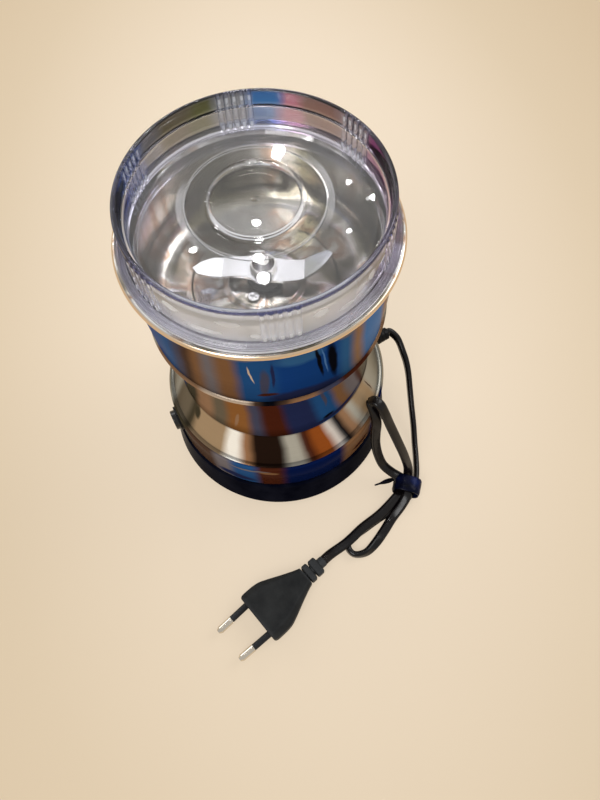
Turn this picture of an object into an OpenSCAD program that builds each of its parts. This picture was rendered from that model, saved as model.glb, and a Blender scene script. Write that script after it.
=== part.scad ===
// Electric spice grinder: a waisted steel body with a clear cap, a push button and a short mains lead.
// Millimetres, +Z up. The origin is the centre of the circle that the feet stand on.

/* [Base] */
// Radius of the black base at the floor
base_r = 61; // [59:0.5:64]
// Height of the black base's shoulder above the floor
base_h = 26; // [24.5:0.5:29]
// Wall of the moulded base
base_wall = 2.4; // [2:0.1:3]
// Bottom plate of the base
base_plate = 2.5; // [2.2:0.1:4]
// How far the feet stand below the base
foot_proud = 1.5; // [1:0.1:2.5]
// Radius of one foot
foot_r = 6; // [4:0.5:7]
// Inset of the feet's centres from the base's edge
foot_ring = 12; // [10:0.5:14]
// Cooling slots in the base
vent_count = 10; // [6:1:12]

/* [Steel body] */
// Thickness of the steel sheet
sheet = 0.8; // [0.5:0.1:1]
// Radius of the lower steel band
band_r = 57.5; // [56.5:0.5:58.5]
// Height of the lower steel band
band_h = 24; // [22.5:0.5:28]
// Rounding between the band and the shoulder
band_round = 2.8; // [1:0.1:4]
// Height of the conical shoulder
shoulder_h = 20; // [16:0.5:22]
// Radius of the neck where the shoulder meets it
neck_r = 47.2; // [46:0.2:48]
// Height of the neck
neck_h = 45.5; // [43:0.5:51]
// How far the neck draws in at its waist
neck_waist = 0.6; // [0:0.1:0.8]
// Height of the bright bead between the neck and the cup band
bead_h = 3; // [2:0.5:4]
// Radius of the cup band at its foot
cup_r = 51.7; // [51.4:0.1:52.5]
// How much wider the cup band is at its top
cup_flare = 1.9; // [1:0.1:2]
// Height of the cup band, up to the face that the cap rests on
cup_h = 45; // [42:0.5:52]

/* [Bowl] */
// Inner radius of the grinding bowl
bowl_r = 49.2; // [47:0.2:49.4]
// Depth of the bowl below its rim
bowl_depth = 36; // [33:0.5:37]
// Radius between the bowl's wall and its floor
bowl_round = 10; // [6:0.5:14]
// Radius of the raised ring in the bowl's floor
bowl_step_r = 30; // [28:0.5:33]
// Radius of the raised centre of the bowl
bowl_hub_r = 15; // [14:0.5:18]
// Outer radius of the bowl's rolled rim
rim_r = 55.7; // [55.6:0.1:57]

/* [Lid] */
// Outer radius of the cap's wall
lid_r = 50.3; // [50:0.1:51]
// Wall of the cap
lid_wall = 1.9; // [1.6:0.1:2.4]
// Height of the cap above the rim
lid_h = 20; // [17:0.5:26]
// Depth of the cap's sunk top below its edge
lid_recess = 6; // [4:0.5:8]
// Rise of the cap's top at its centre
lid_dome = 2; // [0:0.5:3]
// Outer radius of the cap's flange
lid_flange_r = 54; // [53:0.1:54.2]
// Depth of the skirt that enters the bowl
lid_skirt = 6; // [3:0.5:9]
// Groups of grip ribs round the cap
rib_groups = 6; // [3:1:8]
// Ribs in one group
ribs_in_group = 5; // [3:1:7]

/* [Blade] */
// Reach of the blade from the shaft
blade_reach = 28; // [24:0.5:40]
// Thickness of the blade
blade_t = 1.4; // [1:0.1:2]
// Angle that each blade tip is bent up by
blade_bend = 24; // [0:1:35]

/* [Motor] */
// Radius of the motor shaft
shaft_r = 4; // [3.5:0.1:4.2]
// Width of the square stator stack
stator_w = 56; // [54:0.5:58]
// Height of the stator stack
stator_h = 25; // [22:0.5:27]
// Radius of the rotor
rotor_r = 14.5; // [13:0.1:15]
// Slots in the rotor
rotor_slots = 12; // [8:1:14]
// Copper bars of the commutator
commutator_bars = 24; // [12:2:28]
// Radius of the cooling fan
fan_r = 27; // [22:0.5:28]
// Blades of the cooling fan
fan_blades = 9; // [5:1:11]

/* [Switch] */
// Radius of the push button
button_r = 5.3; // [4.5:0.1:5.6]
// How far the button stands out of its collar
button_out = 2.4; // [2.2:0.1:3]
// Travel of the button
button_travel = 1.8; // [1:0.1:2]
// Height of the button above the base
button_z = 16.5; // [15:0.5:18]

/* [Cord and plug] */
// Width of the flat two-core cord
cord_w = 5.4; // [4.8:0.1:5.6]
// Thickness of the flat two-core cord
cord_t = 3.2; // [2.8:0.1:3.4]
// Length of the strain relief outside the body
relief_out = 11; // [10:0.5:12]
// Width of the plug across its pins
plug_w = 28.5; // [26:0.5:35]
// Thickness of the plug
plug_t = 13.7; // [12:0.1:14]
// Length of the plug's tapering body
plug_body_l = 33; // [28:0.5:34]
// Radius of the plug's metal pins
pin_r = 2; // [1.9:0.05:2.4]
// Length of the pins beyond the plug's face
pin_l = 19; // [17:0.5:20]
// Distance between the pins at the plug's face
pin_gap = 18.6; // [17:0.1:19.5]

/* [Fits] */
// Gap between surfaces of one body that pass each other
fit = 0.1; // [0.05:0.01:0.2]
// Gap between pieces that move past each other
run_gap = 0.3; // [0.3:0.05:0.5]
// Radial clearance of the shaft in its bearings
shaft_gap = 0.05; // [0.02:0.01:0.09]

/* [Hidden] */
$fn = 96;

// Levels of the outside, from the floor up
plate_z = foot_proud;
plate_top = plate_z + base_plate;
seam = 1;
band_z = base_h + seam;
shoulder_z = band_z + band_h;
neck_z = shoulder_z + shoulder_h;
bead_z = neck_z + neck_h;
cup_z = bead_z + bead_h;
rim_z = cup_z + cup_h;
seat_z = rim_z + run_gap;
lid_top = seat_z + lid_h;

// Length of a cut that passes right through its piece
through = 60;

// Body
ledge_w = band_round + 0.1;
neck_top_r = neck_r + 1.2;
spigot_r = band_r - sheet - fit;
spigot_h = 3.5;
base_step = 1.1;
base_top_r = band_r + base_step;
foot_circle_r = base_r - foot_ring;
bead_r = neck_top_r + 4.1;
cup_top_z = rim_z - sheet;

// Bowl, deck and the middle of the shaft
floor_z = rim_z - bowl_depth;
step_rise = 1.6;
hub_rise = 3.4;
bowl_hole_r = shaft_r + 3;
bowl_screw_ring = bowl_hole_r + 4;
hub_z = floor_z + hub_rise;
deck_z = cup_z + sheet;
deck_t = 3;
deck_r = cup_r - sheet - run_gap;
deck_spigot_r = neck_r - sheet - neck_waist - fit;
deck_spigot_h = 6;
deck_spigot_wall = 2;
post_r = 4.5;
bowl_screw_r = 1.5;
bowl_screw_l = 8;
seal_lip = 2;
seal_flange_r = bowl_hole_r + 1.5;
seal_flange_h = 2.5;
spacer_z = hub_z + seal_lip + run_gap;
blade_z = spacer_z + 3.2;
nut_z = blade_z + blade_t;
stub_r = shaft_r - 1;

// Motor, hung under the deck
bearing_r = 11;
bearing_h = 7;
mount_h = 4;
post_drop = 7.3;
bracket_t = 3;
bracket_top = deck_z - post_drop - mount_h;
bracket_z = bracket_top - bracket_t;
bearing_z = bracket_top;
coil_end = 6;
stator_top = bracket_z - coil_end - 1;
stator_z = stator_top - stator_h;
commutator_r = 10;
commutator_h = 9;
commutator_z = stator_z - coil_end - 3 - commutator_h;
low_top = commutator_z - 2;
low_z = low_top - bracket_t;
bush_h = 8;
bush_r = shaft_r + 3.5;
bush_z = low_z - 5;
air_gap = 0.6;
stator_bore = rotor_r + air_gap;
window_r = 22.5;
stator_corner = 8;
bolt_r = 2;
bolt_ring = 33;
stator_turn = 63;
diagonal = 45;
bolt_hole = bolt_r + fit;
winding_r = rotor_r - 1.7;
riser_h = 1.4;
brush_z = commutator_z + commutator_h / 2;
brush_w = 5;
brush_l = 9;
holder_end = 27;
fan_z = bush_z - 10;
fan_h = 8;
shaft_z = fan_z - 1.5;

// Legs of the deck, which stand on the bosses of the base
leg_r = 4;
leg_ring = neck_r - sheet - neck_waist - leg_r - 0.7;
leg_z = base_h - 2;
screw_r = 1.9;
screw_head_r = 3.5;
screw_head_h = 2.2;
screw_bite = 12;

// Push-button switch, along its own axis, whose zero is the grinder's axis
button_az = 199;
switch_z = base_h + button_z;
collar_t = 0.9;
collar_face = band_r + collar_t;
collar_r = button_r + 1.5;
cap_bore = button_r + run_gap;
barrel_r = cap_bore + 0.6;
cap_back = band_r - 4;
shelf_r1 = cap_back - button_travel - 2.2;
shelf_r0 = shelf_r1 - 1.5;
plunger_out = 4;
chamber_r0 = shelf_r0 - plunger_out - button_travel - 0.2;
housing_r0 = chamber_r0 - 1;
plunger_r = 1.3;
switch_nut_w = 3;
switch_nut_gap = 1;
switch_nut_wall = 1.2;
terminal_r0 = housing_r0 - 3.2;
terminal_gap = 4;
terminal_w = 3;
terminal_t = 0.8;

// Strain relief and cord exit
exit_az = 18;
exit_z = base_h + 10;
relief_end = band_r + relief_out;
relief_neck = 4;
relief_tail = band_r - 9.5;
core_r = 1.1;
core_gap = 2.6;

// Plug, in its own frame: the face is at x = 0 and the pins point along +X
plug_face = [-25.4, -121.7];
plug_az = 214;
plug_tail = 13;
plug_len = plug_body_l + plug_tail;
pin_toe = 1.65;
sleeve_l = 10;
sleeve_r = pin_r - 0.25;
sleeve_sink = 1;
pin_core_r = pin_r - 0.6;
pin_sink = 8;
pin_round = 1.5;

// Points of the free cord: x, y, z and the turn of its wide side away from level
route = [
    [71.3, 18.2, 33, 90], [73.6, 11.7, 29, 90], [75.1, 6.8, 25, 90], [75.9, 1.2, 20.5, 90],
    [76, -6.6, 15, 90], [75.9, -15.3, 10, 90], [75.5, -25.3, 6.5, 90], [74.5, -35.5, 4, 90],
    [73.6, -44.3, 3, 90], [71.9, -53.8, 2.9, 85], [68.7, -61, 2.8, 60], [63.7, -66.7, 2.1, 20],
    [56, -71.4, 1.8, 0], [46.1, -75.8, 1.8, 0], [37.5, -80.4, 1.8, 0], [31, -84.2, 2.2, 30],
    [27, -89, 2.8, 75], [29.5, -94, 2.9, 90], [36, -94, 2.7, 70], [42, -89.8, 2.2, 30],
    [48.1, -83.5, 1.9, 0], [53.8, -77, 2.4, 0], [59.5, -71.7, 5.4, 0], [63.5, -66.7, 8, 0],
    [64.8, -61.2, 8.8, 0], [62.2, -57, 9, 0], [57.1, -53.2, 10.5, 0], [52.5, -49.6, 14.5, 0],
    [49.7, -45.8, 22, 0], [48.2, -42.4, 31, 0], [47.9, -39.9, 40, 0], [48.1, -37.5, 48, 0],
    [47, -33.9, 54, 0], [45.6, -31, 58.5, 0], [46.4, -31.2, 62.5, 0], [49.2, -34, 62.5, 0],
    [51.8, -37, 57, 0], [54.7, -40.1, 48.5, 0], [59.3, -45.2, 36, 0], [63.3, -49.5, 24.5, 0],
    [66, -53.2, 13.5, 0], [65.4, -57.4, 7, 0], [62.6, -61.7, 5, 0], [58.2, -66, 5.2, 0],
    [47.6, -74.4, 5.2, 0], [36.6, -80.8, 5.2, 0], [29.6, -85.8, 5.4, 0], [24.7, -89, 5.8, 0]
];

// Tie: a wrapped sleeve round the three runs of cord, with its twisted end
tie_at = [64.6, -61.2, 6.6];
tie_az = 68;
tie_w = 15.5;
tie_h = 12.8;
tie_t = 0.9;
tie_l = 9;
tie_end_l = 12;
tie_end_turn = 123;

// ---------- shared geometry ----------

function arc(c, r, a0, a1, n = 6) =
    [for (i = [0:n]) let (a = a0 + (a1 - a0) * i / n) c + r * [cos(a), sin(a)]];

function side_normal(a, b) = let (d = b - a) [d[1], -d[0]] / norm(d);

// The path moved to its right by t, with mitred corners
function offset_path(p, t) = [
    for (i = [0:len(p) - 1])
        let (
            n1 = i > 0 ? side_normal(p[i - 1], p[i]) : side_normal(p[i], p[i + 1]),
            n2 = i < len(p) - 1 ? side_normal(p[i], p[i + 1]) : n1
        )
        p[i] + t * (n1 + n2) / (1 + n1 * n2)
];

function place(p) = [p[0], p[1], p[2]];
function unit(v) = v / norm(v);
function heading(p, i) = unit(place(p[min(i + 1, len(p) - 1)]) - place(p[max(i - 1, 0)]));

function reversed(p) = [for (i = [len(p) - 1:-1:0]) p[i]];

// Closed outline of a sheet of thickness t that follows the path
function sheet_outline(p, t) = concat(p, reversed(offset_path(p, t)));

module spun(path, t) {
    rotate_extrude() polygon(sheet_outline(path, t));
}

module ring(r_out, r_in, h) {
    difference() {
        cylinder(r = r_out, h = h);
        translate([0, 0, -1]) cylinder(r = r_in, h = h + 2);
    }
}

module polar(az, r = 0, z = 0) {
    rotate([0, 0, az]) translate([r, 0, z]) children();
}

// Lays the z axis along the radius at azimuth az and height z
module radial(az, z) {
    translate([0, 0, z]) rotate([0, 0, az]) rotate([0, 90, 0]) children();
}

module rounded_square(w, r) {
    square([w, w - 2 * r], center = true);
    square([w - 2 * r, w], center = true);
    for (x = [-1, 1], y = [-1, 1]) translate([x, y] * (w / 2 - r)) circle(r = r, $fn = 32);
}

// Flat sector of a ring between two radii, from angle -half to half
module sector(r_in, r_out, half) {
    intersection() {
        difference() {
            circle(r = r_out);
            circle(r = r_in);
        }
        polygon(concat([[0, 0]], arc([0, 0], 2 * r_out, -half, half, 4)));
    }
}

module at_corners() {
    for (i = [0:3]) polar(stator_turn + diagonal + 90 * i, bolt_ring) children();
}

module at_legs() {
    for (i = [0:3]) polar(stator_turn + 90 * i, leg_ring) children();
}

// Helical spring along +Z from zero to h
module coil_spring(r, wire, h, turns) {
    steps = 12 * turns;
    sides = 6;
    rise = h - wire;
    rings = [
        for (i = [0:steps])
            let (a = 360 * turns * i / steps, z = wire / 2 + rise * i / steps)
            [for (j = [0:sides - 1])
                let (b = 360 * j / sides, q = r + wire / 2 * cos(b))
                [q * cos(a), q * sin(a), z + wire / 2 * sin(b)]]
    ];
    skin(rings);
}

// Solid through a list of rings that have the same number of points
module skin(rings) {
    n = len(rings[0]);
    last = len(rings) - 1;
    polyhedron(
        points = [for (ring_points = rings, p = ring_points) p],
        faces = concat(
            [[for (j = [0:n - 1]) j]],
            [for (i = [0:last - 1], j = [0:n - 1])
                let (k = (j + 1) % n) [i * n + j, (i + 1) * n + j, (i + 1) * n + k, i * n + k]],
            [[for (j = [n - 1:-1:0]) last * n + j]]
        ),
        convexity = 10
    );
}

// ---------- lid ----------

lid_in_r = lid_r - lid_wall;
skirt_r = bowl_r - run_gap - fit;
lid_face_z = lid_top - lid_recess;
gate_r = 16.9;
gate_step = 0.5;
pad_r = 25.5;
pad_rise = 0.3;
rib_r = lid_wall / 2 + 0.35;
rib_pitch = 3.4;
rib_phase = 34;

function dome_z(r) = lid_face_z + lid_dome * (1 - pow(r / lid_in_r, 2));
dome_rings = [for (k = [1:3]) gate_r + (lid_in_r - gate_r) * k / 4];

lid_outline = concat(
    [[0, dome_z(0) - gate_step], [gate_r - 0.5, dome_z(gate_r) - gate_step], [gate_r, dome_z(gate_r)]],
    [for (r = dome_rings) [r, dome_z(r)]],
    [[lid_in_r, lid_face_z]],
    arc([lid_in_r + 0.9, lid_top - 0.9], 0.9, 180, 90, 4),
    arc([lid_r - 0.9, lid_top - 0.9], 0.9, 90, 0, 4),
    [[lid_r + 0.3, seat_z + 2], [lid_flange_r - 0.8, seat_z + 2]],
    [[lid_flange_r, seat_z + 1.2], [lid_flange_r, seat_z]],
    [[skirt_r, seat_z], [skirt_r - 0.3, seat_z - lid_skirt], [skirt_r - lid_wall, seat_z - lid_skirt]],
    [[skirt_r - lid_wall, seat_z - 0.5], [lid_in_r, seat_z + 1]],
    [[lid_in_r, lid_face_z - lid_wall - 1], [lid_in_r - 1, lid_face_z - lid_wall]],
    [for (r = reversed(dome_rings)) if (r > pad_r + 1) [r, dome_z(r) - lid_wall]],
    [[pad_r + 0.5, dome_z(pad_r) - lid_wall], [pad_r, dome_z(pad_r) - lid_wall - pad_rise]],
    [[0, dome_z(0) - gate_step - lid_wall - pad_rise]]
);

module lid() color([0.86, 0.87, 0.92, 0.35]) {
    rotate_extrude() polygon(lid_outline);
    for (g = [0:rib_groups - 1], k = [0:ribs_in_group - 1]) {
        turn = (k - (ribs_in_group - 1) / 2) * rib_pitch;
        polar(rib_phase + 360 / rib_groups * g + turn, lid_r - lid_wall / 2, seat_z + 1)
            cylinder(r = rib_r, h = lid_h - 1.4, $fn = 24);
    }
}

// ---------- bowl and steel skins ----------

curl_r = 1.3;
rim_lip = 0.3;
bowl_path = concat(
    [[bowl_hole_r, hub_z], [bowl_hub_r, hub_z], [bowl_hub_r + 3, floor_z + step_rise]],
    [[bowl_step_r, floor_z + step_rise], [bowl_step_r + 2, floor_z]],
    arc([bowl_r - bowl_round, floor_z + bowl_round], bowl_round, -90, 0, 8),
    arc([bowl_r + 1, rim_z - 1], 1, 180, 90, 3),
    arc([rim_r - curl_r, rim_z - curl_r], curl_r, 90, 0, 4),
    [[rim_r, rim_z - curl_r - rim_lip]]
);

module grinding_bowl() color([0.78, 0.78, 0.79]) difference() {
    spun(bowl_path, sheet);
    for (i = [0:2]) polar(120 * i, bowl_screw_ring, hub_z - 2)
        cylinder(r = bowl_screw_r + fit, h = 4, $fn = 24);
}

cup_lip = 4;
cup_path = concat(
    [[cup_r - cup_lip, cup_z]],
    arc([cup_r - 1, cup_z + 1], 1, -90, 0, 3),
    [[cup_r + cup_flare - 0.3, rim_z - 6], [cup_r + cup_flare, rim_z - 4]],
    [[rim_r - sheet - 2 * run_gap, cup_top_z - 1.5], [rim_r - sheet - 2 * run_gap, cup_top_z]]
);

module upper_shell() color([0.72, 0.7, 0.68]) spun(cup_path, -sheet);

module bead_ring() color([0.66, 0.58, 0.52]) rotate_extrude() polygon(concat(
    [[deck_spigot_r + fit, bead_z]],
    arc([bead_r - bead_h / 2, bead_z + bead_h / 2], bead_h / 2, -90, 90, 8),
    [[deck_spigot_r + fit, cup_z]]
));

function neck_radius(u) = neck_r - neck_waist * sin(180 * u) + (neck_top_r - neck_r) * pow(u, 3);

shell_path = concat(
    [[band_r, band_z]],
    arc([band_r - band_round, shoulder_z - band_round], band_round, 0, 80, 5),
    [[band_r - ledge_w, shoulder_z]],
    [for (i = [0:8]) [neck_radius(i / 8), neck_z + (neck_h - 1) * i / 8]],
    [[neck_top_r, bead_z]]
);

module lower_shell() color([0.7, 0.68, 0.66]) difference() {
    spun(shell_path, -sheet);
    radial(button_az, switch_z) translate([0, 0, shelf_r1]) cylinder(r = barrel_r + fit, h = through);
    radial(exit_az, exit_z) translate([0, 0, relief_tail]) cylinder(r = relief_neck + fit, h = through);
}

// ---------- base ----------

base_outline = concat(
    [[0, plate_z]],
    arc([base_r - 2.5, plate_z + 2], 2, -90, 0, 4),
    [[base_r, plate_z + 4], [base_top_r, base_h - 0.8], [base_top_r - 0.8, base_h]],
    [[band_r - 0.2, base_h], [band_r - 0.2, band_z], [spigot_r, band_z], [spigot_r, band_z + spigot_h]],
    [[spigot_r - base_wall, band_z + spigot_h], [spigot_r - base_wall, base_h - 2]],
    [[base_top_r - base_wall - 0.6, base_h - 5], [base_r - base_wall - 1, plate_top]],
    [[0, plate_top]]
);

vent_w = 3.2;
vent_r0 = 12;
vent_r1 = 31;
foot_sink = 1.2;
boss_r = leg_r + 1;

module base_cover() color([0.04, 0.04, 0.05]) difference() {
    union() {
        rotate_extrude() polygon(base_outline);
        at_legs() translate([0, 0, plate_z + 1]) cylinder(r = boss_r, h = leg_z - plate_z - 1);
    }
    for (i = [0:vent_count - 1]) polar(360 / vent_count * i, 0, plate_z - 1) {
        translate([vent_r0, -vent_w / 2, 0]) cube([vent_r1 - vent_r0, vent_w, base_plate + 2]);
        for (r = [vent_r0, vent_r1]) translate([r, 0, 0]) cylinder(r = vent_w / 2, h = base_plate + 2);
    }
    for (i = [0:3]) polar(exit_az + 90 * i, foot_circle_r, plate_z - 1)
        cylinder(r = foot_r + fit, h = foot_sink + 1);
    at_legs() {
        translate([0, 0, plate_z - 1]) cylinder(r = screw_head_r + fit, h = screw_head_h + 2);
        cylinder(r = screw_r + fit, h = leg_z + 1);
    }
}

module feet() color([0.09, 0.09, 0.1])
    for (i = [0:3]) polar(exit_az + 90 * i, foot_circle_r) {
        cylinder(r1 = foot_r - 0.8, r2 = foot_r, h = foot_proud);
        translate([0, 0, foot_proud]) cylinder(r = foot_r, h = foot_sink);
    }

module base_screws() color([0.55, 0.55, 0.56])
    at_legs() translate([0, 0, plate_z + 1]) difference() {
        union() {
            cylinder(r = screw_head_r, h = screw_head_h - 0.2);
            cylinder(r = screw_r, h = leg_z - plate_z - 1 + screw_bite);
        }
        for (a = [0, 90]) rotate([0, 0, a]) translate([0, 0, 0.5]) cube([4, 0.9, 2], center = true);
    }

// ---------- deck that carries the bowl and the motor ----------

module bowl_deck() color([0.12, 0.12, 0.13]) difference() {
    union() {
        translate([0, 0, deck_z]) cylinder(r = deck_r, h = deck_t);
        translate([0, 0, deck_z - deck_spigot_h])
            ring(deck_spigot_r, deck_spigot_r - deck_spigot_wall, deck_spigot_h + 1);
        translate([0, 0, deck_z]) cylinder(r = bowl_hub_r - 0.6, h = hub_z - sheet - deck_z);
        translate([0, 0, deck_z])
            ring(bowl_step_r - 1.6, bowl_step_r - 4.6, floor_z + step_rise - sheet - deck_z);
        for (a = [0:60:300]) polar(a, bowl_hub_r - 1, deck_z + 1)
            translate([0, -1, 0]) cube([bowl_step_r - bowl_hub_r - 2, 2, floor_z - sheet - deck_z - 1]);
        at_corners() translate([0, 0, deck_z - post_drop]) cylinder(r = post_r, h = post_drop + 1);
        at_legs() translate([0, 0, leg_z]) cylinder(r = leg_r, h = deck_z - leg_z + 1);
    }
    translate([0, 0, deck_z - 1]) cylinder(r = shaft_r + 1, h = through);
    translate([0, 0, hub_z - sheet - seal_flange_h]) cylinder(r = seal_flange_r + fit, h = through);
    for (i = [0:2]) polar(120 * i, bowl_screw_ring, hub_z - bowl_screw_l - 1)
        cylinder(r = bowl_screw_r + fit, h = through, $fn = 24);
    at_corners() translate([0, 0, deck_z - post_drop - 1]) cylinder(r = bolt_hole, h = post_drop + 3);
    at_legs() translate([0, 0, leg_z - 1]) cylinder(r = screw_r + fit, h = screw_bite + 2);
}

module bowl_screws() color([0.6, 0.6, 0.61])
    for (i = [0:2]) polar(120 * i, bowl_screw_ring, hub_z) {
        difference() {
            union() {
                cylinder(r1 = 2.8, r2 = 2.2, h = 1.4, $fn = 32);
                translate([0, 0, -bowl_screw_l]) cylinder(r = bowl_screw_r, h = bowl_screw_l + 0.2, $fn = 24);
            }
            translate([0, 0, 1.2]) cube([3.4, 0.7, 1.2], center = true);
            translate([0, 0, 1.2]) cube([0.7, 3.4, 1.2], center = true);
        }
    }

module shaft_seal() color([0.08, 0.08, 0.08]) difference() {
    union() {
        translate([0, 0, hub_z - sheet - seal_flange_h]) cylinder(r = seal_flange_r, h = seal_flange_h);
        translate([0, 0, hub_z - sheet - 1]) cylinder(r = bowl_hole_r - fit, h = sheet + 1);
        translate([0, 0, hub_z]) cylinder(r1 = bowl_hole_r - fit, r2 = shaft_r + 1.2, h = seal_lip);
    }
    translate([0, 0, hub_z - 10]) cylinder(r = shaft_r + shaft_gap, h = through);
}

// ---------- blade ----------

// One wing in plan: the leading edge outward, the tip, and the trailing edge back to the hub
wing = [
    [-0.1, -5.8], [0.3, -6.2], [0.52, -5.3], [0.74, -3], [0.9, 0.6], [1, 4.4],
    [0.93, 6.6], [0.76, 6.2], [0.56, 4.6], [0.34, 4.2], [0.15, 5.2], [-0.1, 5.8]
];
wing_fold = 0.58;
fold_r = 3;
blade_hub_r = 7;
blade_turn = -10;

// Side view of the strip that the blade is bent from
fold_x = wing_fold * blade_reach;
tip_run = blade_reach + 2 - fold_x;
tip_rise = fold_r * (1 - cos(blade_bend)) + (tip_run - fold_r * sin(blade_bend)) * tan(blade_bend);
tip_path = concat(
    arc([fold_x, fold_r], fold_r, -90, blade_bend - 90, 4),
    [[fold_x + tip_run, tip_rise]]
);
strip_path = concat(reversed([for (p = tip_path) [-p[0], p[1]]]), tip_path);

module blade() color([0.75, 0.75, 0.76]) polar(blade_turn, 0, blade_z) difference() {
    intersection() {
        rotate([90, 0, 0]) linear_extrude(4 * blade_hub_r, center = true)
            polygon(sheet_outline(strip_path, -blade_t));
        translate([0, 0, -1]) linear_extrude(blade_reach) {
            for (a = [0, 180]) rotate(a) polygon([for (p = wing) [p[0] * blade_reach, p[1]]]);
            circle(r = blade_hub_r);
        }
    }
    translate([0, 0, -1]) cylinder(r = stub_r + fit, h = blade_t + 2);
}

module blade_spacer() color([0.1, 0.1, 0.1]) translate([0, 0, spacer_z]) difference() {
    cylinder(r1 = 7.5, r2 = 6.5, h = blade_z - spacer_z);
    translate([0, 0, -1]) cylinder(r = shaft_r + fit, h = 10);
}

nut_h = 5.4;

module blade_nut() color([0.7, 0.7, 0.71]) translate([0, 0, nut_z]) difference() {
    union() {
        cylinder(r = 5.6, h = 3.4, $fn = 6);
        cylinder(r = 5.4, h = 0.6);
        translate([0, 0, 3.4]) cylinder(r1 = 4.6, r2 = 2.6, h = nut_h - 3.4);
    }
    translate([0, 0, -1]) cylinder(r = stub_r + fit, h = 5);
}

// ---------- rotor ----------

module motor_shaft() color([0.62, 0.62, 0.64]) {
    translate([0, 0, shaft_z]) cylinder(r = shaft_r, h = blade_z - shaft_z);
    translate([0, 0, blade_z]) cylinder(r = stub_r, h = nut_z - blade_z + 3.6);
}

retainer_h = 1.2;

module retaining_rings() color([0.5, 0.5, 0.52])
    for (z = [bearing_z - run_gap - retainer_h, bush_z + bush_h + run_gap])
        translate([0, 0, z]) difference() {
            ring(shaft_r + 2.6, shaft_r + fit / 2, retainer_h);
            translate([shaft_r - 1, -1, -1]) cube([5, 2, 4]);
        }

slot_w = 3;
slot_r = 9;

module rotor_core() color([0.45, 0.45, 0.47]) translate([0, 0, stator_z]) difference() {
    cylinder(r = rotor_r, h = stator_h);
    for (i = [0:rotor_slots - 1]) polar(360 / rotor_slots * i, slot_r, -1) {
        translate([0, -slot_w / 2, 0]) cube([rotor_r - slot_r - 1.2, slot_w, stator_h + 2]);
        translate([0, -0.6, 0]) cube([rotor_r, 1.2, stator_h + 2]);
    }
    translate([0, 0, -1]) cylinder(r = shaft_r + fit, h = stator_h + 2);
}

module rotor_winding() color([0.66, 0.34, 0.14]) translate([0, 0, stator_z]) {
    bar_w = slot_w - 2 * fit;
    for (i = [0:rotor_slots - 1]) polar(360 / rotor_slots * i, slot_r + fit, -1)
        translate([0, -bar_w / 2, 0]) cube([winding_r - slot_r - 0.4, bar_w, stator_h + 2]);
    translate([0, 0, stator_h]) end_turns();
    mirror([0, 0, 1]) end_turns();
}

// End turns of the rotor winding, rising from z = 0
module end_turns() {
    cut = 1.5;
    inner_r = shaft_r + cut;
    rotate_extrude() polygon([
        [inner_r + cut, 0], [winding_r - cut, 0], [winding_r, cut], [winding_r, coil_end - cut],
        [winding_r - cut, coil_end], [inner_r + cut, coil_end], [inner_r, coil_end - cut], [inner_r, cut]
    ]);
}

module commutator() color([0.72, 0.42, 0.2]) translate([0, 0, commutator_z]) difference() {
    union() {
        cylinder(r = commutator_r, h = commutator_h);
        translate([0, 0, commutator_h]) cylinder(r = commutator_r + 1.2, h = riser_h);
    }
    for (i = [0:commutator_bars - 1]) polar(360 / commutator_bars * i, commutator_r - 0.8, -1)
        translate([0, -0.25, 0]) cube([3, 0.5, commutator_h + 0.5]);
    translate([0, 0, -1]) cylinder(r = shaft_r + fit, h = commutator_h + riser_h + 2);
}

fan_blade_path = arc([0.48, 0.44] * fan_r, 0.55 * fan_r, -120, -30, 8);

module cooling_fan() color([0.85, 0.85, 0.82]) translate([0, 0, fan_z]) difference() {
    union() {
        cylinder(r = fan_r, h = 1.5);
        cylinder(r = shaft_r + 3, h = fan_h);
        for (i = [0:fan_blades - 1]) rotate([0, 0, 360 / fan_blades * i])
            linear_extrude(fan_h - 1) polygon(sheet_outline(fan_blade_path, 1.2));
    }
    translate([0, 0, -1]) cylinder(r = shaft_r + fit, h = fan_h + 2);
}

// ---------- bearings and stator ----------

module upper_bearing() color([0.68, 0.68, 0.7]) translate([0, 0, bearing_z]) difference() {
    cylinder(r = bearing_r, h = bearing_h);
    translate([0, 0, -1]) cylinder(r = shaft_r + shaft_gap, h = bearing_h + 2);
    for (z = [-1, bearing_h - 0.6]) translate([0, 0, z]) ring(bearing_r - 1.6, shaft_r + 1.9, 1.6);
}

module lower_bush() color([0.6, 0.5, 0.32]) translate([0, 0, bush_z]) difference() {
    cylinder(r = bush_r, h = bush_h);
    translate([0, 0, -1]) cylinder(r = shaft_r + shaft_gap, h = bush_h + 2);
}

pole_half = 50;
coil_half = 84;
coil_r0 = stator_bore + 0.5;
coil_r1 = window_r - 0.3;

module stator_core() color([0.42, 0.42, 0.44]) rotate([0, 0, stator_turn]) translate([0, 0, stator_z])
    linear_extrude(stator_h) difference() {
        rounded_square(stator_w, stator_corner);
        circle(r = stator_bore);
        for (a = [90, 270]) rotate([0, 0, a]) sector(stator_bore - 1, window_r, 90 - pole_half);
        for (i = [0:3]) rotate([0, 0, diagonal + 90 * i]) translate([bolt_ring, 0]) circle(r = bolt_hole);
    }

module field_coils() color([0.7, 0.36, 0.15]) rotate([0, 0, stator_turn]) for (pole = [0, 180])
    rotate([0, 0, pole]) {
        mid = (pole_half + 2 + coil_half) / 2;
        half = (coil_half - pole_half - 3) / 2;
        for (a = [-mid, mid]) rotate([0, 0, a]) translate([0, 0, stator_z - 1])
            linear_extrude(stator_h + 2) sector(coil_r0 + 0.3, coil_r1 - 0.3, half);
        for (z = [stator_z - coil_end, stator_top]) translate([0, 0, z])
            linear_extrude(coil_end) sector(coil_r0, coil_r1, coil_half);
    }

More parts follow.
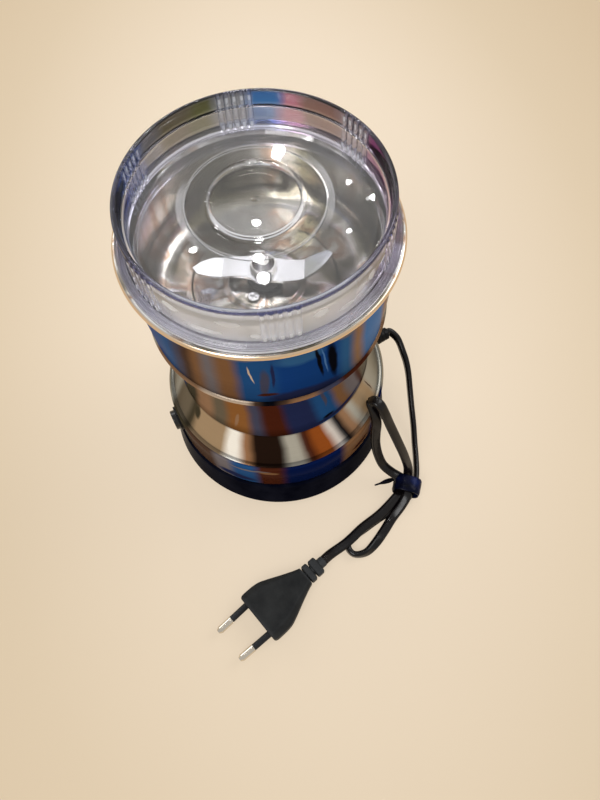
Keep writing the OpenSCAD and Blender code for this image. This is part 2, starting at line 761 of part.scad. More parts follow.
module bracket_arms(h) {
    for (a = [diagonal, -diagonal]) rotate([0, 0, stator_turn + a])
        translate([-bolt_ring, -5, 0]) cube([2 * bolt_ring, 10, h]);
    for (i = [0:3]) polar(stator_turn + diagonal + 90 * i, bolt_ring) cylinder(r = 5.5, h = h);
}

module upper_bracket() color([0.6, 0.6, 0.62]) difference() {
    union() {
        translate([0, 0, bracket_z]) bracket_arms(bracket_t);
        translate([0, 0, bracket_z]) cylinder(r = bearing_r + 2, h = bracket_t + bearing_h);
        at_corners() translate([0, 0, stator_top]) cylinder(r = 4, h = bracket_z - stator_top + 1);
    }
    translate([0, 0, bearing_z]) cylinder(r = bearing_r + fit / 2, h = bearing_h + 1);
    translate([0, 0, bracket_z - 1]) cylinder(r = bearing_r - 1.5, h = bracket_t + 2);
    at_corners() translate([0, 0, stator_top - 1]) cylinder(r = bolt_hole, h = through);
}

// Bar under the brushes, and the pad that carries each brush holder
bar_half = holder_end - 1;
bar_w = 8;
pad_w = 6;
pad_r0 = bar_half - pad_w - 1;

module lower_bracket() color([0.6, 0.6, 0.62]) difference() {
    union() {
        translate([0, 0, low_z]) bracket_arms(bracket_t);
        translate([0, 0, bush_z]) cylinder(r = bush_r + 2, h = bush_h + 0.8);
        at_corners() translate([0, 0, low_top - 1]) cylinder(r = 4, h = stator_z - low_top + 1);
        for (a = [0, 180]) polar(stator_turn + 90 + a, pad_r0, low_top - 1)
            translate([0, -pad_w / 2, 0]) cube([pad_w, pad_w, brush_z - brush_w / 2 - low_top]);
        rotate([0, 0, stator_turn + 90]) translate([-bar_half, -bar_w / 2, low_z + 0.5])
            cube([2 * bar_half, bar_w, bracket_t - 1]);
    }
    translate([0, 0, bush_z - 1]) cylinder(r = bush_r + fit / 2, h = bush_h + 2);
    at_corners() translate([0, 0, low_z - 1]) cylinder(r = bolt_hole, h = through);
}

holder_r0 = commutator_r + 1.5;

module at_brushes() {
    for (a = [0, 180]) radial(stator_turn + 90 + a, brush_z) children();
}

holder_l = holder_end - holder_r0;

module brush_holders() color([0.72, 0.58, 0.28]) at_brushes() translate([0, 0, holder_r0]) difference() {
    translate([-brush_w / 2 - 1, -brush_w / 2 - 1, 0]) cube([brush_w + 2, brush_w + 2, holder_l]);
    translate([-brush_w / 2 - fit, -brush_w / 2 - fit, -1])
        cube([brush_w + 2 * fit, brush_w + 2 * fit, holder_l]);
}

module carbon_brushes() color([0.16, 0.16, 0.17]) at_brushes() translate([0, 0, commutator_r + run_gap])
    translate([-brush_w / 2, -brush_w / 2, 0]) cube([brush_w, brush_w, brush_l]);

module brush_springs() color([0.6, 0.6, 0.6]) at_brushes() {
    start = commutator_r + run_gap + brush_l;
    translate([0, 0, start]) coil_spring(1.9, 0.5, holder_end - 1 - start, 4);
}

bolt_head_h = 1.8;
bolt_top = deck_z + 1;

module motor_bolts() color([0.58, 0.58, 0.6]) at_corners() {
    translate([0, 0, low_z - bolt_head_h]) cylinder(r = 3.5, h = bolt_head_h, $fn = 6);
    translate([0, 0, low_z]) cylinder(r = bolt_r, h = bolt_top - low_z);
}

module motor_mounts() color([0.1, 0.1, 0.1]) at_corners() translate([0, 0, bracket_top])
    ring(5, bolt_hole, mount_h);

// ---------- switch ----------

terminal_l = chamber_r0 + 1.4 - terminal_r0;

module at_terminals() {
    for (x = [-1, 1]) translate([x * terminal_gap / 2, 0, 0]) children();
}

module switch_housing() color([0.05, 0.05, 0.05]) difference() {
    radial(button_az, switch_z) difference() {
        union() {
            translate([0, 0, housing_r0]) cylinder(r = barrel_r, h = collar_face - housing_r0);
            translate([0, 0, band_r - 2]) cylinder(r = collar_r, h = collar_t + 2);
        }
        translate([0, 0, shelf_r1]) cylinder(r = cap_bore, h = 30);
        translate([0, 0, shelf_r0 - 1]) cylinder(r = plunger_r + run_gap, h = 5);
        translate([0, 0, chamber_r0]) cylinder(r = barrel_r - 1, h = shelf_r0 - chamber_r0);
        at_terminals() translate([0, 0, housing_r0])
            cube([terminal_t + 2 * fit, terminal_w + 2 * fit, 4], center = true);
    }
    intersection() {
        translate([0, 0, switch_z - 20]) cylinder(r = band_r + 0.02, h = 40);
        radial(button_az, switch_z) translate([0, 0, band_r - 3]) ring(collar_r + 1, barrel_r, 6);
    }
}

module switch_nut() color([0.6, 0.6, 0.6]) radial(button_az, switch_z)
    translate([0, 0, band_r - sheet - switch_nut_gap - switch_nut_w]) difference() {
        rotate([0, 0, 30]) cylinder(r = barrel_r + switch_nut_wall, h = switch_nut_w, $fn = 6);
        translate([0, 0, -1]) cylinder(r = barrel_r + fit / 2, h = switch_nut_w + 2);
    }

module switch_button() color([0.03, 0.03, 0.03]) radial(button_az, switch_z) {
    top = collar_face + button_out;
    translate([0, 0, cap_back]) cylinder(r = button_r, h = top - 0.6 - cap_back);
    translate([0, 0, top - 0.6]) cylinder(r1 = button_r, r2 = button_r - 0.6, h = 0.6);
    plunger_l = cap_back - shelf_r0 + plunger_out;
    translate([0, 0, shelf_r0 - plunger_out]) cylinder(r = plunger_r, h = plunger_l + 1);
}

module button_spring() color([0.62, 0.62, 0.63]) radial(button_az, switch_z)
    translate([0, 0, shelf_r1]) coil_spring(3.4, 0.5, cap_back - shelf_r1, 4);

module switch_contacts() color([0.75, 0.6, 0.3]) radial(button_az, switch_z) at_terminals()
    translate([-terminal_t / 2, -terminal_w / 2, terminal_r0]) cube([terminal_t, terminal_w, terminal_l]);

// ---------- wiring inside ----------

function polar_point(az, r, z) = [r * cos(az), r * sin(az), z];

// Round lead through the points, its ring of points carried along without twisting
lead_faces = 8;

module lead(p) {
    first = heading(p, 0);
    sides = [
        for (i = 0, s = unit(cross(first, [first[2], first[0], first[1] + 0.5])); i < len(p);
            i = i + 1, s = i < len(p) ? unit(s - (s * heading(p, i)) * heading(p, i)) : s) s
    ];
    skin([for (i = [0:len(p) - 1]) [for (j = [0:lead_faces - 1])
        let (a = 360 / lead_faces * j)
        p[i] + core_r * (sides[i] * cos(a) + cross(heading(p, i), sides[i]) * sin(a))]]);
}

live_z = exit_z - core_gap / 2;
neutral_z = exit_z + core_gap / 2;
live_r = 31.5;
live_az = button_az + 8;
neutral_r = 43;
neutral_az = 40;
coil_lead_z = stator_z - coil_end / 2;
live_tab_z = switch_z - terminal_gap / 2;
motor_tab_z = switch_z + terminal_gap / 2;
tab_r = housing_r0 - core_r - 0.2;
tab_turn = 2.3;
motor_r = 34;
motor_az0 = 175;
motor_az1 = 156;
bend = 3;

// Points given as azimuth, radius and height, turned into places
function spots(p) = [for (q = p) polar_point(q[0], q[1], q[2])];

module live_lead() color([0.35, 0.2, 0.1]) lead(spots(concat(
    [[exit_az, relief_tail - 0.1, live_z], [exit_az, live_r + bend, live_z]],
    [for (a = [exit_az + 6:12:live_az - 8]) [a, live_r, live_z]],
    [[live_az - 5, live_r, live_z], [live_az + 1, live_r + 1, live_z + 2]],
    [[live_az + 2, tab_r - 3, live_tab_z - 1], [live_az, tab_r - 0.4, live_tab_z]],
    [[live_az - 3, tab_r, live_tab_z], [button_az + tab_turn, tab_r, live_tab_z]]
)));

module neutral_lead() color([0.1, 0.2, 0.5]) lead(spots([
    [exit_az, relief_tail - 0.1, neutral_z], [exit_az, neutral_r + bend, neutral_z],
    [exit_az + 6, neutral_r, neutral_z], [neutral_az - 6, neutral_r, neutral_z],
    [neutral_az - 1, neutral_r, neutral_z + 1], [neutral_az, neutral_r, neutral_z + bend + 1],
    [neutral_az, neutral_r, coil_lead_z - bend], [neutral_az, neutral_r - 1, coil_lead_z - 1],
    [neutral_az, neutral_r - bend, coil_lead_z], [neutral_az, window_r - 0.3, coil_lead_z]
]));

module motor_lead() color([0.12, 0.12, 0.12]) lead(spots([
    [button_az - tab_turn, tab_r, motor_tab_z], [button_az - 8, tab_r, motor_tab_z],
    [button_az - 13, tab_r - 1, motor_tab_z], [motor_az0 + 5, motor_r + 1.5, motor_tab_z],
    [motor_az0 + 1, motor_r, motor_tab_z + 1], [motor_az0, motor_r, motor_tab_z + 4],
    [motor_az0, motor_r, brush_z - bend], [motor_az0 - 1, motor_r, brush_z - 1],
    [motor_az0 - 5, motor_r, brush_z], [motor_az1 + 8, motor_r - 1, brush_z],
    [motor_az1 + 3, motor_r - 4, brush_z], [motor_az1, holder_end + 1.3, brush_z],
    [motor_az1 - 4, holder_end + 1.2, brush_z]
]));

// ---------- cord, relief and plug ----------

relief_groove = 0.5;

module strain_relief() color([0.05, 0.05, 0.05]) difference() {
    radial(exit_az, exit_z) difference() {
        union() {
            translate([0, 0, relief_tail]) cylinder(r = relief_neck, h = relief_end - relief_tail - 8);
            translate([0, 0, band_r - sheet - 3]) cylinder(r = relief_neck + 1.2, h = 2);
            translate([0, 0, band_r - 1]) cylinder(r = relief_neck + 1, h = 3);
            translate([0, 0, band_r + 1]) cylinder(r1 = relief_neck + 0.6, r2 = 3.4, h = relief_out - 1);
        }
        for (k = [0:2]) translate([0, 0, band_r + 3.6 + 2.4 * k])
            ring(8, relief_neck + 0.1 - 0.22 * k - relief_groove / 2, 0.9);
    }
    intersection() {
        translate([0, 0, exit_z - 20]) ring(band_r + 0.02, band_r - sheet - 0.02, 40);
        radial(exit_az, exit_z) translate([0, 0, band_r - 5]) ring(12, relief_neck, 8);
    }
}

// The cord starts 1 mm inside the relief and ends 1 mm inside the plug
cord_sink = 1;

function exit_point(r) = [r * cos(exit_az), r * sin(exit_az), exit_z, 90];
function plug_point(x) = [plug_face[0] + x * cos(plug_az), plug_face[1] + x * sin(plug_az), plug_t / 2, 0];

cord_points = concat(
    [exit_point(relief_end - cord_sink), exit_point(relief_end + 2)],
    route,
    [plug_point(-plug_len - 5), plug_point(-plug_len + cord_sink)]
);

// Smooth curve through the points, with one extra ring between two neighbours
function spline(p, i, t) =
    let (
        n = len(p) - 1, a = p[max(i - 1, 0)], b = p[i], c = p[min(i + 1, n)], d = p[min(i + 2, n)]
    )
    0.5 * (2 * b + (c - a) * t + (2 * a - 5 * b + 4 * c - d) * t * t + (3 * b - a - 3 * c + d) * t * t * t);

cord_sub = 1.5;
cord_steps = floor((len(cord_points) - 1) * cord_sub);
cord_line = [
    for (k = [0:cord_steps])
        let (s = k / cord_sub, i = min(floor(s), len(cord_points) - 2))
        spline(cord_points, i, s - i)
];

function level_side(p, i) = unit(cross([0, 0, 1], heading(p, i)));

// The level side at ring i, on the same side of the cord as s
function kept_side(i, s) = level_side(cord_line, i) * sign(level_side(cord_line, i) * s);

// The level side at each ring, kept on the same side of the cord through a fold
cord_side = [
    for (i = 0, s = level_side(cord_line, 0); i <= cord_steps;
        i = i + 1, s = i > cord_steps ? s : kept_side(i, s)) s
];

cord_faces = 10;

function cord_ring(i) =
    let (
        c = place(cord_line[i]), roll = cord_line[i][3], s = cord_side[i],
        up = cross(heading(cord_line, i), s),
        wide = s * cos(roll) + up * sin(roll),
        thin = up * cos(roll) - s * sin(roll)
    )
    [for (j = [0:cord_faces - 1])
        let (a = 360 / cord_faces * (j + 0.5))
        c + wide * cord_w / 2 * cos(a) + thin * cord_t / 2 * sin(a)];

module cord() color([0.05, 0.05, 0.05]) skin([for (i = [0:cord_steps]) cord_ring(i)]);

module tie_outline(w, h) {
    r = h / 2 - 0.5;
    square([w - 2 * r, h], center = true);
    square([w, h - 2 * r], center = true);
    for (x = [-1, 1], y = [-1, 1]) translate([x * (w / 2 - r), y * (h / 2 - r)]) circle(r = r, $fn = 32);
}

module cord_tie() color([0.03, 0.03, 0.05]) translate(tie_at) rotate([0, 0, tie_az]) rotate([90, 0, 90]) {
    translate([0, 0, -tie_l / 2]) linear_extrude(tie_l) difference() {
        tie_outline(tie_w, tie_h);
        tie_outline(tie_w - 2 * tie_t, tie_h - 2 * tie_t);
    }
    translate([tie_w / 2 - 0.3, -1.5, 3]) rotate([0, tie_end_turn, 0])
        cylinder(r = 1, h = tie_end_l, $fn = 16);
}

module plug_outline(x, w, t) {
    translate([x, 0, 0]) rotate([90, 0, 90]) linear_extrude(0.2) offset(r = 2, $fn = 24)
        square([w - 4, t - 4], center = true);
}

module at_plug() {
    translate([plug_face[0], plug_face[1], plug_t / 2]) rotate([0, 0, plug_az]) children();
}

waist_x = 12;
tail_w = 9;
tail_t = 8;

module plug_body() color([0.05, 0.05, 0.05]) at_plug() {
    hull() {
        plug_outline(-0.2, plug_w - 1.5, plug_t - 1);
        plug_outline(-1.5, plug_w, plug_t);
        plug_outline(-waist_x, plug_w, plug_t);
    }
    hull() {
        plug_outline(-waist_x, plug_w, plug_t);
        plug_outline(-plug_body_l, tail_w, tail_t);
    }
    for (k = [0:3]) hull() {
        x = -plug_body_l - 1.2 - 3.1 * k;
        plug_outline(x, tail_w - 0.5 * k, tail_t - 0.4 * k);
        plug_outline(x - 1.6, tail_w - 0.5 * k - 0.3, tail_t - 0.4 * k - 0.3);
    }
    translate([-plug_len, 0, 0]) rotate([0, 90, 0]) cylinder(r = 2.9, h = plug_tail + 1);
}

// Each pin leans in towards the other, and its root is sunk in the plug
module at_pins() {
    at_plug() for (side = [-1, 1]) translate([0, side * pin_gap / 2, 0]) rotate([0, 0, -side * pin_toe])
        rotate([0, 90, 0]) children();
}

module plug_pins() color([0.75, 0.73, 0.7]) at_pins() {
    translate([0, 0, sleeve_l]) cylinder(r = pin_r, h = pin_l - sleeve_l - pin_round);
    translate([0, 0, pin_l - pin_round]) cylinder(r1 = pin_r, r2 = pin_r - 0.9, h = pin_round);
    translate([0, 0, -pin_sink]) cylinder(r = pin_core_r, h = sleeve_l + pin_sink + 0.5);
}

module pin_sleeves() color([0.05, 0.05, 0.05]) at_pins() translate([0, 0, -sleeve_sink])
    ring(sleeve_r, pin_core_r + fit / 2, sleeve_l + sleeve_sink);

// ---------- assembly ----------

lid();
grinding_bowl();
upper_shell();
bead_ring();
lower_shell();
base_cover();
feet();
base_screws();
bowl_deck();
bowl_screws();
shaft_seal();
blade();
blade_spacer();
blade_nut();
motor_shaft();
retaining_rings();
rotor_core();
rotor_winding();
commutator();
cooling_fan();
upper_bearing();
lower_bush();
stator_core();
field_coils();
upper_bracket();
lower_bracket();
brush_holders();
carbon_brushes();
brush_springs();
motor_bolts();
motor_mounts();
switch_button();
button_spring();
switch_housing();
switch_nut();
switch_contacts();
live_lead();
neutral_lead();
motor_lead();
strain_relief();
cord();
cord_tie();
plug_body();
plug_pins();
pin_sleeves();
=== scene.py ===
from math import copysign, cos, degrees, exp, pi, radians, sin, sqrt

import bmesh
import bpy
from mathutils import Matrix, Vector


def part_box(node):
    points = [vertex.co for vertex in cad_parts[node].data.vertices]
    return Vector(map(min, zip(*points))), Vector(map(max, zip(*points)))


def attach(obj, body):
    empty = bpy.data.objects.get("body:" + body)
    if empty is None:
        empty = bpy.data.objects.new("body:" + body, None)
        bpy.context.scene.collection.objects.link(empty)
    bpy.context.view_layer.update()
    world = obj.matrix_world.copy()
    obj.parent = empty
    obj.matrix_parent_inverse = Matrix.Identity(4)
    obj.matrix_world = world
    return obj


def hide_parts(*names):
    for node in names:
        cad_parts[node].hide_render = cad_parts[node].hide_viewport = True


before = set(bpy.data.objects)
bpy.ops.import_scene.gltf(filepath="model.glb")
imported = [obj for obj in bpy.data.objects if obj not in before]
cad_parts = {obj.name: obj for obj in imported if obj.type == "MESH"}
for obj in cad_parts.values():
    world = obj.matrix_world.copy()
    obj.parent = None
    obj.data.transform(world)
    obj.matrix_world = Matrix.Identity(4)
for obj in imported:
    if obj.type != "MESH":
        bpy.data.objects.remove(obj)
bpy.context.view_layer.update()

# Lengths are written in millimetres and angles in degrees. MM turns a length into Blender's metres.
MM = 0.001


def arc(cx, cz, r, a0, a1, n=8):
    """Points of an arc round (cx, cz), from angle a0 to a1."""
    angles = [radians(a0 + (a1 - a0) * i / n) for i in range(n + 1)]
    return [(cx + r * cos(a), cz + r * sin(a)) for a in angles]


def low(node):
    return [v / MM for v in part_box(node)[0]]


def high(node):
    return [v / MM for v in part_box(node)[1]]


def srgb(r, g, b):
    """A colour written as 0 to 255, as Blender's linear values."""
    def linear(v):
        v = v / 255
        return v / 12.92 if v <= 0.04045 else ((v + 0.055) / 1.055) ** 2.4
    return (linear(r), linear(g), linear(b), 1)


# ---- sizes taken from the frame ----

BAND_R = high("lower_shell")[0]
BAND_Z = low("lower_shell")[2]
BEAD_Z = low("bead_ring")[2]
BEAD_R = high("bead_ring")[0]
CUP_Z = high("bead_ring")[2]
RIM_R = high("grinding_bowl")[0]
RIM_Z = high("grinding_bowl")[2]
LID_TOP = high("lid")[2]
FLANGE_R = high("lid")[0]

# Sizes that part.scad states and the frame doesn't give
SHEET = 0.8
RUN_GAP = 0.3
FIT = 0.1
SHOULDER_Z = BAND_Z + 24
NECK_Z = SHOULDER_Z + 20
NECK_R = 47.2
NECK_TOP_R = NECK_R + 1.2
NECK_WAIST = 0.6
BOWL_R = 49.2
BOWL_DEPTH = 36
LID_R = 50.3
LID_WALL = 1.9
SEAT_Z = RIM_Z + RUN_GAP
BUTTON_AZ = 199
BUTTON_Z = 42.5
BUTTON_R = 5.3
EXIT_AZ = 18
EXIT_Z = 36
PLUG_FACE = (-25.4, -121.7)
PLUG_AZ = 214
PLUG_T = 13.7

# ---- camera ----

CAMERA_AT = Vector((0, -161.6, 359.3)) * MM
CAMERA_YAW = 4.21
CAMERA_PITCH = 65.39
CAMERA_ROLL = -3.21
FOCAL_PX = 650
FRAME_H_PX = 800
SENSOR = 36


def add_camera():
    yaw, pitch, roll = (radians(a) for a in (CAMERA_YAW, CAMERA_PITCH, CAMERA_ROLL))
    look = Vector((sin(yaw) * cos(pitch), cos(yaw) * cos(pitch), -sin(pitch)))
    side = Vector((cos(yaw), -sin(yaw), 0))
    up = side.cross(look)
    right = cos(roll) * side + sin(roll) * up
    top = cos(roll) * up - sin(roll) * side
    data = bpy.data.cameras.new("camera")
    data.sensor_width = SENSOR
    data.lens = SENSOR * FOCAL_PX / FRAME_H_PX
    camera = bpy.data.objects.new("camera", data)
    turn = Matrix((right, top, -look)).transposed().to_4x4()
    camera.matrix_world = Matrix.Translation(CAMERA_AT) @ turn
    bpy.context.collection.objects.link(camera)
    bpy.context.scene.camera = camera


add_camera()

# ---- meshes ----

ON_AXIS = 1e-6


def new_object(name, verts, faces, sharp=35):
    mesh = bpy.data.meshes.new(name)
    mesh.from_pydata([Vector(v) * MM for v in verts], [], faces)
    mesh.validate()
    shell = bmesh.new()
    shell.from_mesh(mesh)
    bmesh.ops.recalc_face_normals(shell, faces=shell.faces)
    shell.to_mesh(mesh)
    shell.free()
    mesh.shade_smooth()
    mesh.set_sharp_from_angle(angle=radians(sharp))
    piece = bpy.data.objects.new(name, mesh)
    bpy.context.collection.objects.link(piece)
    return piece


def lathe(name, outline, steps=256, swell=None, sharp=35):
    """Closed outline of (r, z) points turned round Z. swell(azimuth, r, z) moves a point's radius."""
    verts, faces, rows = [], [], []
    for r, z in outline:
        on_axis = r < ON_AXIS
        rows.append([len(verts)] * steps if on_axis else range(len(verts), len(verts) + steps))
        for k in range(1 if on_axis else steps):
            a = 2 * pi * k / steps
            q = r + (swell(a, r, z) if swell else 0)
            verts.append((q * cos(a), q * sin(a), z))
    for a, b in zip(rows, rows[1:] + rows[:1]):
        for k in range(steps):
            m = (k + 1) % steps
            corners = [a[k], a[m], b[m], b[k]]
            corners = [v for j, v in enumerate(corners) if v != corners[j - 1]]
            if len(corners) > 2:
                faces.append(corners)
    return new_object(name, verts, faces, sharp)


def thicken(path, t):
    """Closed outline of a sheet of thickness t to the right of the path."""
    def normal(p, q):
        d = Vector((q[0] - p[0], q[1] - p[1])).normalized()
        return Vector((d.y, -d.x))
    back = []
    for i, p in enumerate(path):
        n1 = normal(path[i - 1], p) if i else normal(p, path[i + 1])
        n2 = normal(p, path[i + 1]) if i < len(path) - 1 else n1
        back.append(tuple(Vector(p) + t * (n1 + n2) / (1 + n1.dot(n2))))
    return list(path) + back[::-1]


def skin(name, rings, sharp=35, closed=False):
    """Solid through rings of as many points each, capped at both ends or closed end to end."""
    n, m = len(rings[0]), len(rings)
    verts = [p for ring in rings for p in ring]
    faces = [] if closed else [list(range(n))[::-1]]
    for i in range(m if closed else m - 1):
        this, after = i * n, (i + 1) % m * n
        faces += [[this + j, this + (j + 1) % n, after + (j + 1) % n, after + j] for j in range(n)]
    if not closed:
        faces.append([(m - 1) * n + j for j in range(n)])
    return new_object(name, verts, faces, sharp)


def place(piece, matrix):
    """Moves the mesh itself, so that the object stays at the origin."""
    scaled = matrix.copy()
    scaled.translation = matrix.translation * MM
    piece.data.transform(scaled)
    return piece


def turn(amount, axis):
    return Matrix.Rotation(radians(amount), 4, axis)


def along_radius(az, z):
    """Turns local Z to the radius at azimuth az and height z."""
    return Matrix.Translation((0, 0, z)) @ turn(az, "Z") @ turn(90, "Y")


def dress(piece, body, material, slot, *nodes):
    """Gives a piece its material, the body it rides on and the CAD nodes it stands for. slot is not used."""
    piece.data.materials.clear()
    piece.data.materials.append(material)
    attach(piece, body)
    if nodes:
        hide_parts(*nodes)
    return piece


# ---- cord ----

CORD_W = 5.4
CORD_T = 3.2
CORD_GROOVE = 0.18
CORD_GROOVE_W = 0.9
CORD_STEPS = 5
CORD_SINK = 1
RELIEF_END = BAND_R + 11
EXIT_RUN = 2
PLUG_LEN = 46
PLUG_RUN = 5

# x, y, z and the turn of the wide side away from level
ROUTE = [
    (71.3, 18.2, 33, 90), (73.6, 11.7, 29, 90), (75.1, 6.8, 25, 90), (75.9, 1.2, 20.5, 90),
    (76, -6.6, 15, 90), (75.9, -15.3, 10, 90), (75.5, -25.3, 6.5, 90), (74.5, -35.5, 4, 90),
    (73.6, -44.3, 3, 90), (71.9, -53.8, 2.9, 85), (68.7, -61, 2.8, 60), (63.7, -66.7, 2.1, 20),
    (56, -71.4, 1.8, 0), (46.1, -75.8, 1.8, 0), (37.5, -80.4, 1.8, 0), (31, -84.2, 2.2, 30),
    (27, -89, 2.8, 75), (29.5, -94, 2.9, 90), (36, -94, 2.7, 70), (42, -89.8, 2.2, 30),
    (48.1, -83.5, 1.9, 0), (53.8, -77, 2.4, 0), (59.5, -71.7, 5.4, 0), (63.5, -66.7, 8, 0),
    (64.8, -61.2, 8.8, 0), (62.2, -57, 9, 0), (57.1, -53.2, 10.5, 0), (52.5, -49.6, 14.5, 0),
    (49.7, -45.8, 22, 0), (48.2, -42.4, 31, 0), (47.9, -39.9, 40, 0), (48.1, -37.5, 48, 0),
    (47, -33.9, 54, 0), (45.6, -31, 58.5, 0), (46.4, -31.2, 62.5, 0), (49.2, -34, 62.5, 0),
    (51.8, -37, 57, 0), (54.7, -40.1, 48.5, 0), (59.3, -45.2, 36, 0), (63.3, -49.5, 24.5, 0),
    (66, -53.2, 13.5, 0), (65.4, -57.4, 7, 0), (62.6, -61.7, 5, 0), (58.2, -66, 5.2, 0),
    (47.6, -74.4, 5.2, 0), (36.6, -80.8, 5.2, 0), (29.6, -85.8, 5.4, 0), (24.7, -89, 5.8, 0),
]


def exit_point(r):
    a = radians(EXIT_AZ)
    return (r * cos(a), r * sin(a), EXIT_Z, 90)


def plug_point(x):
    """Point at x along the plug, 0 at its face."""
    a = radians(PLUG_AZ)
    return (PLUG_FACE[0] + x * cos(a), PLUG_FACE[1] + x * sin(a), PLUG_T / 2, 0)


def between(rows, i, t, skip=0):
    """Point at t, from 0 to 1, on the smooth curve from row i to the next. skip: columns left out."""
    a, b, c, d = (Vector(rows[min(max(j, 0), len(rows) - 1)][skip:]) for j in range(i - 1, i + 3))
    bend, twist = 2 * a - 5 * b + 4 * c - d, 3 * b - a - 3 * c + d
    return 0.5 * (2 * b + (c - a) * t + bend * t * t + twist * t ** 3)


def smooth_line(points, per_span):
    """Smooth curve through the points, as part.scad draws it."""
    spans = len(points) - 1
    starts = [min(k // per_span, spans - 1) for k in range(spans * per_span + 1)]
    return [between(points, i, k / per_span - i) for k, i in enumerate(starts)]


def cord_section(n=28):
    """Flat section with round edges and a shallow groove between its two cores."""
    flat = (CORD_W - CORD_T) / 2
    points = []
    for j in range(n):
        a = 2 * pi * (j + 0.5) / n
        x = copysign(flat, cos(a)) + CORD_T / 2 * cos(a)
        y = CORD_T / 2 * sin(a)
        points.append((x, y - copysign(CORD_GROOVE * exp(-(x / CORD_GROOVE_W) ** 2), y)))
    return points


def sweep(name, line, section):
    """Tube along the line, with its wide side turned by each point's fourth value."""
    rings, side = [], None
    last = len(line) - 1
    for i, p in enumerate(line):
        ahead = (line[min(i + 1, last)] - line[max(i - 1, 0)]).to_3d().normalized()
        level = Vector((0, 0, 1)).cross(ahead).normalized()
        if side is not None and side.dot(level) < 0:
            level = -level
        side = level
        up = ahead.cross(side)
        roll = radians(p[3])
        wide = side * cos(roll) + up * sin(roll)
        thin = up * cos(roll) - side * sin(roll)
        rings.append([p.to_3d() + wide * x + thin * y for x, y in section])
    return skin(name, rings, sharp=50)


CORD_LINE = smooth_line(
    [exit_point(RELIEF_END - CORD_SINK), exit_point(RELIEF_END + EXIT_RUN)] + ROUTE
    + [plug_point(-PLUG_LEN - PLUG_RUN), plug_point(-PLUG_LEN + CORD_SINK)], CORD_STEPS)

cord = sweep("mains_cord", CORD_LINE, cord_section())

# ---- tie round the cord ----

TIE_AT = Vector((64.6, -61.2, 6.6))
TIE_AZ = 68
TIE_W = 15.5
TIE_H = 12.8
TIE_T = 0.9
TIE_L = 9
TIE_PLACE = Matrix.Translation(TIE_AT) @ turn(TIE_AZ, "Z") @ turn(90, "Z") @ turn(90, "X")


def rounded_loop(w, h, n=48, power=2.6):
    """Points of a rounded oblong, w by h."""
    def reach(share, size):
        return copysign(abs(share) ** (2 / power), share) * size / 2
    turns = [2 * pi * j / n for j in range(n)]
    return [(reach(cos(a), w), reach(sin(a), h)) for a in turns]


def build_tie():
    """Wrapped sleeve with rolled edges and soft creases."""
    steps, creases = 14, 5
    edge_roll, crease_depth = 0.06, 0.0144
    outer, inner = [], []
    for i in range(steps + 1):
        u = i / steps
        z = (u - 0.5) * TIE_L
        full = 1 - edge_roll * abs(2 * u - 1) ** 6
        crease = crease_depth * sin(creases * pi * u)
        shares = [(x, y, full + crease * sin(x + y)) for x, y in rounded_loop(TIE_W, TIE_H)]
        outer.append([(x * share, y * share, z) for x, y, share in shares])
        inner.append([(x, y, z) for x, y in rounded_loop(TIE_W - 2 * TIE_T, TIE_H - 2 * TIE_T)])
    return place(skin("cord_tie_wrap", outer + inner[::-1], 60, closed=True), TIE_PLACE)


tie = build_tie()


def build_tie_tail():
    """Twisted ends of the tie, drawn to a point."""
    length, r0 = 12, 1.25
    taper, flute, twist = 0.75, 0.22, 9
    steps, around = 24, 12
    start = Vector((TIE_W / 2 - 0.3, -1.5, 3))
    lean = radians(123)
    ahead = Vector((sin(lean), 0, cos(lean)))
    side = Vector((0, 1, 0))
    up = ahead.cross(side)
    rings = []
    for i in range(steps + 1):
        u = i / steps
        r = r0 * (1 - taper * u ** 2)
        ring = []
        for j in range(around):
            a = 2 * pi * j / around
            q = r * (1 + flute * cos(2 * a + twist * u))
            ring.append(start + ahead * length * u + side * q * cos(a) + up * q * sin(a))
        rings.append(ring)
    return place(skin("cord_tie_tail", rings, 60), TIE_PLACE)


tie_tail = build_tie_tail()

# ---- plug ----

# Along the plug from its face: place, width, thickness and bevel of the top edges
PLUG_SECTIONS = [
    (-0.1, 25.9, 11.6, 2.2), (-0.5, 27.2, 12.9, 2.6), (-1.3, 28.1, 13.5, 3), (-2.6, 28.5, 13.7, 3.3),
    (-7.5, 28.5, 13.7, 3.6), (-10.5, 28, 13.5, 3.6), (-12.5, 27.1, 13.2, 3.5), (-15.5, 24.8, 12.5, 3.3),
    (-19, 21.8, 11.6, 3), (-23, 18.2, 10.6, 2.6), (-27, 14.8, 9.7, 2.2), (-30.5, 12, 9, 1.9),
    (-32.6, 10.6, 8.6, 1.7), (-33.2, 10, 8.4, 1.6),
]
# Blocks of the bend guard: front, back, width and thickness
GUARD_BLOCKS = [(-33.9, -37.4, 10, 8), (-38.3, -42.6, 9.6, 7.6)]
GUARD_BEVEL = 1.3
GUARD_EDGE = 0.6
GUARD_CORE_R = 2.9
GUARD_CORE_START = -33
PLUG_PLACE = Matrix.Translation((*PLUG_FACE, PLUG_T / 2)) @ turn(PLUG_AZ, "Z")


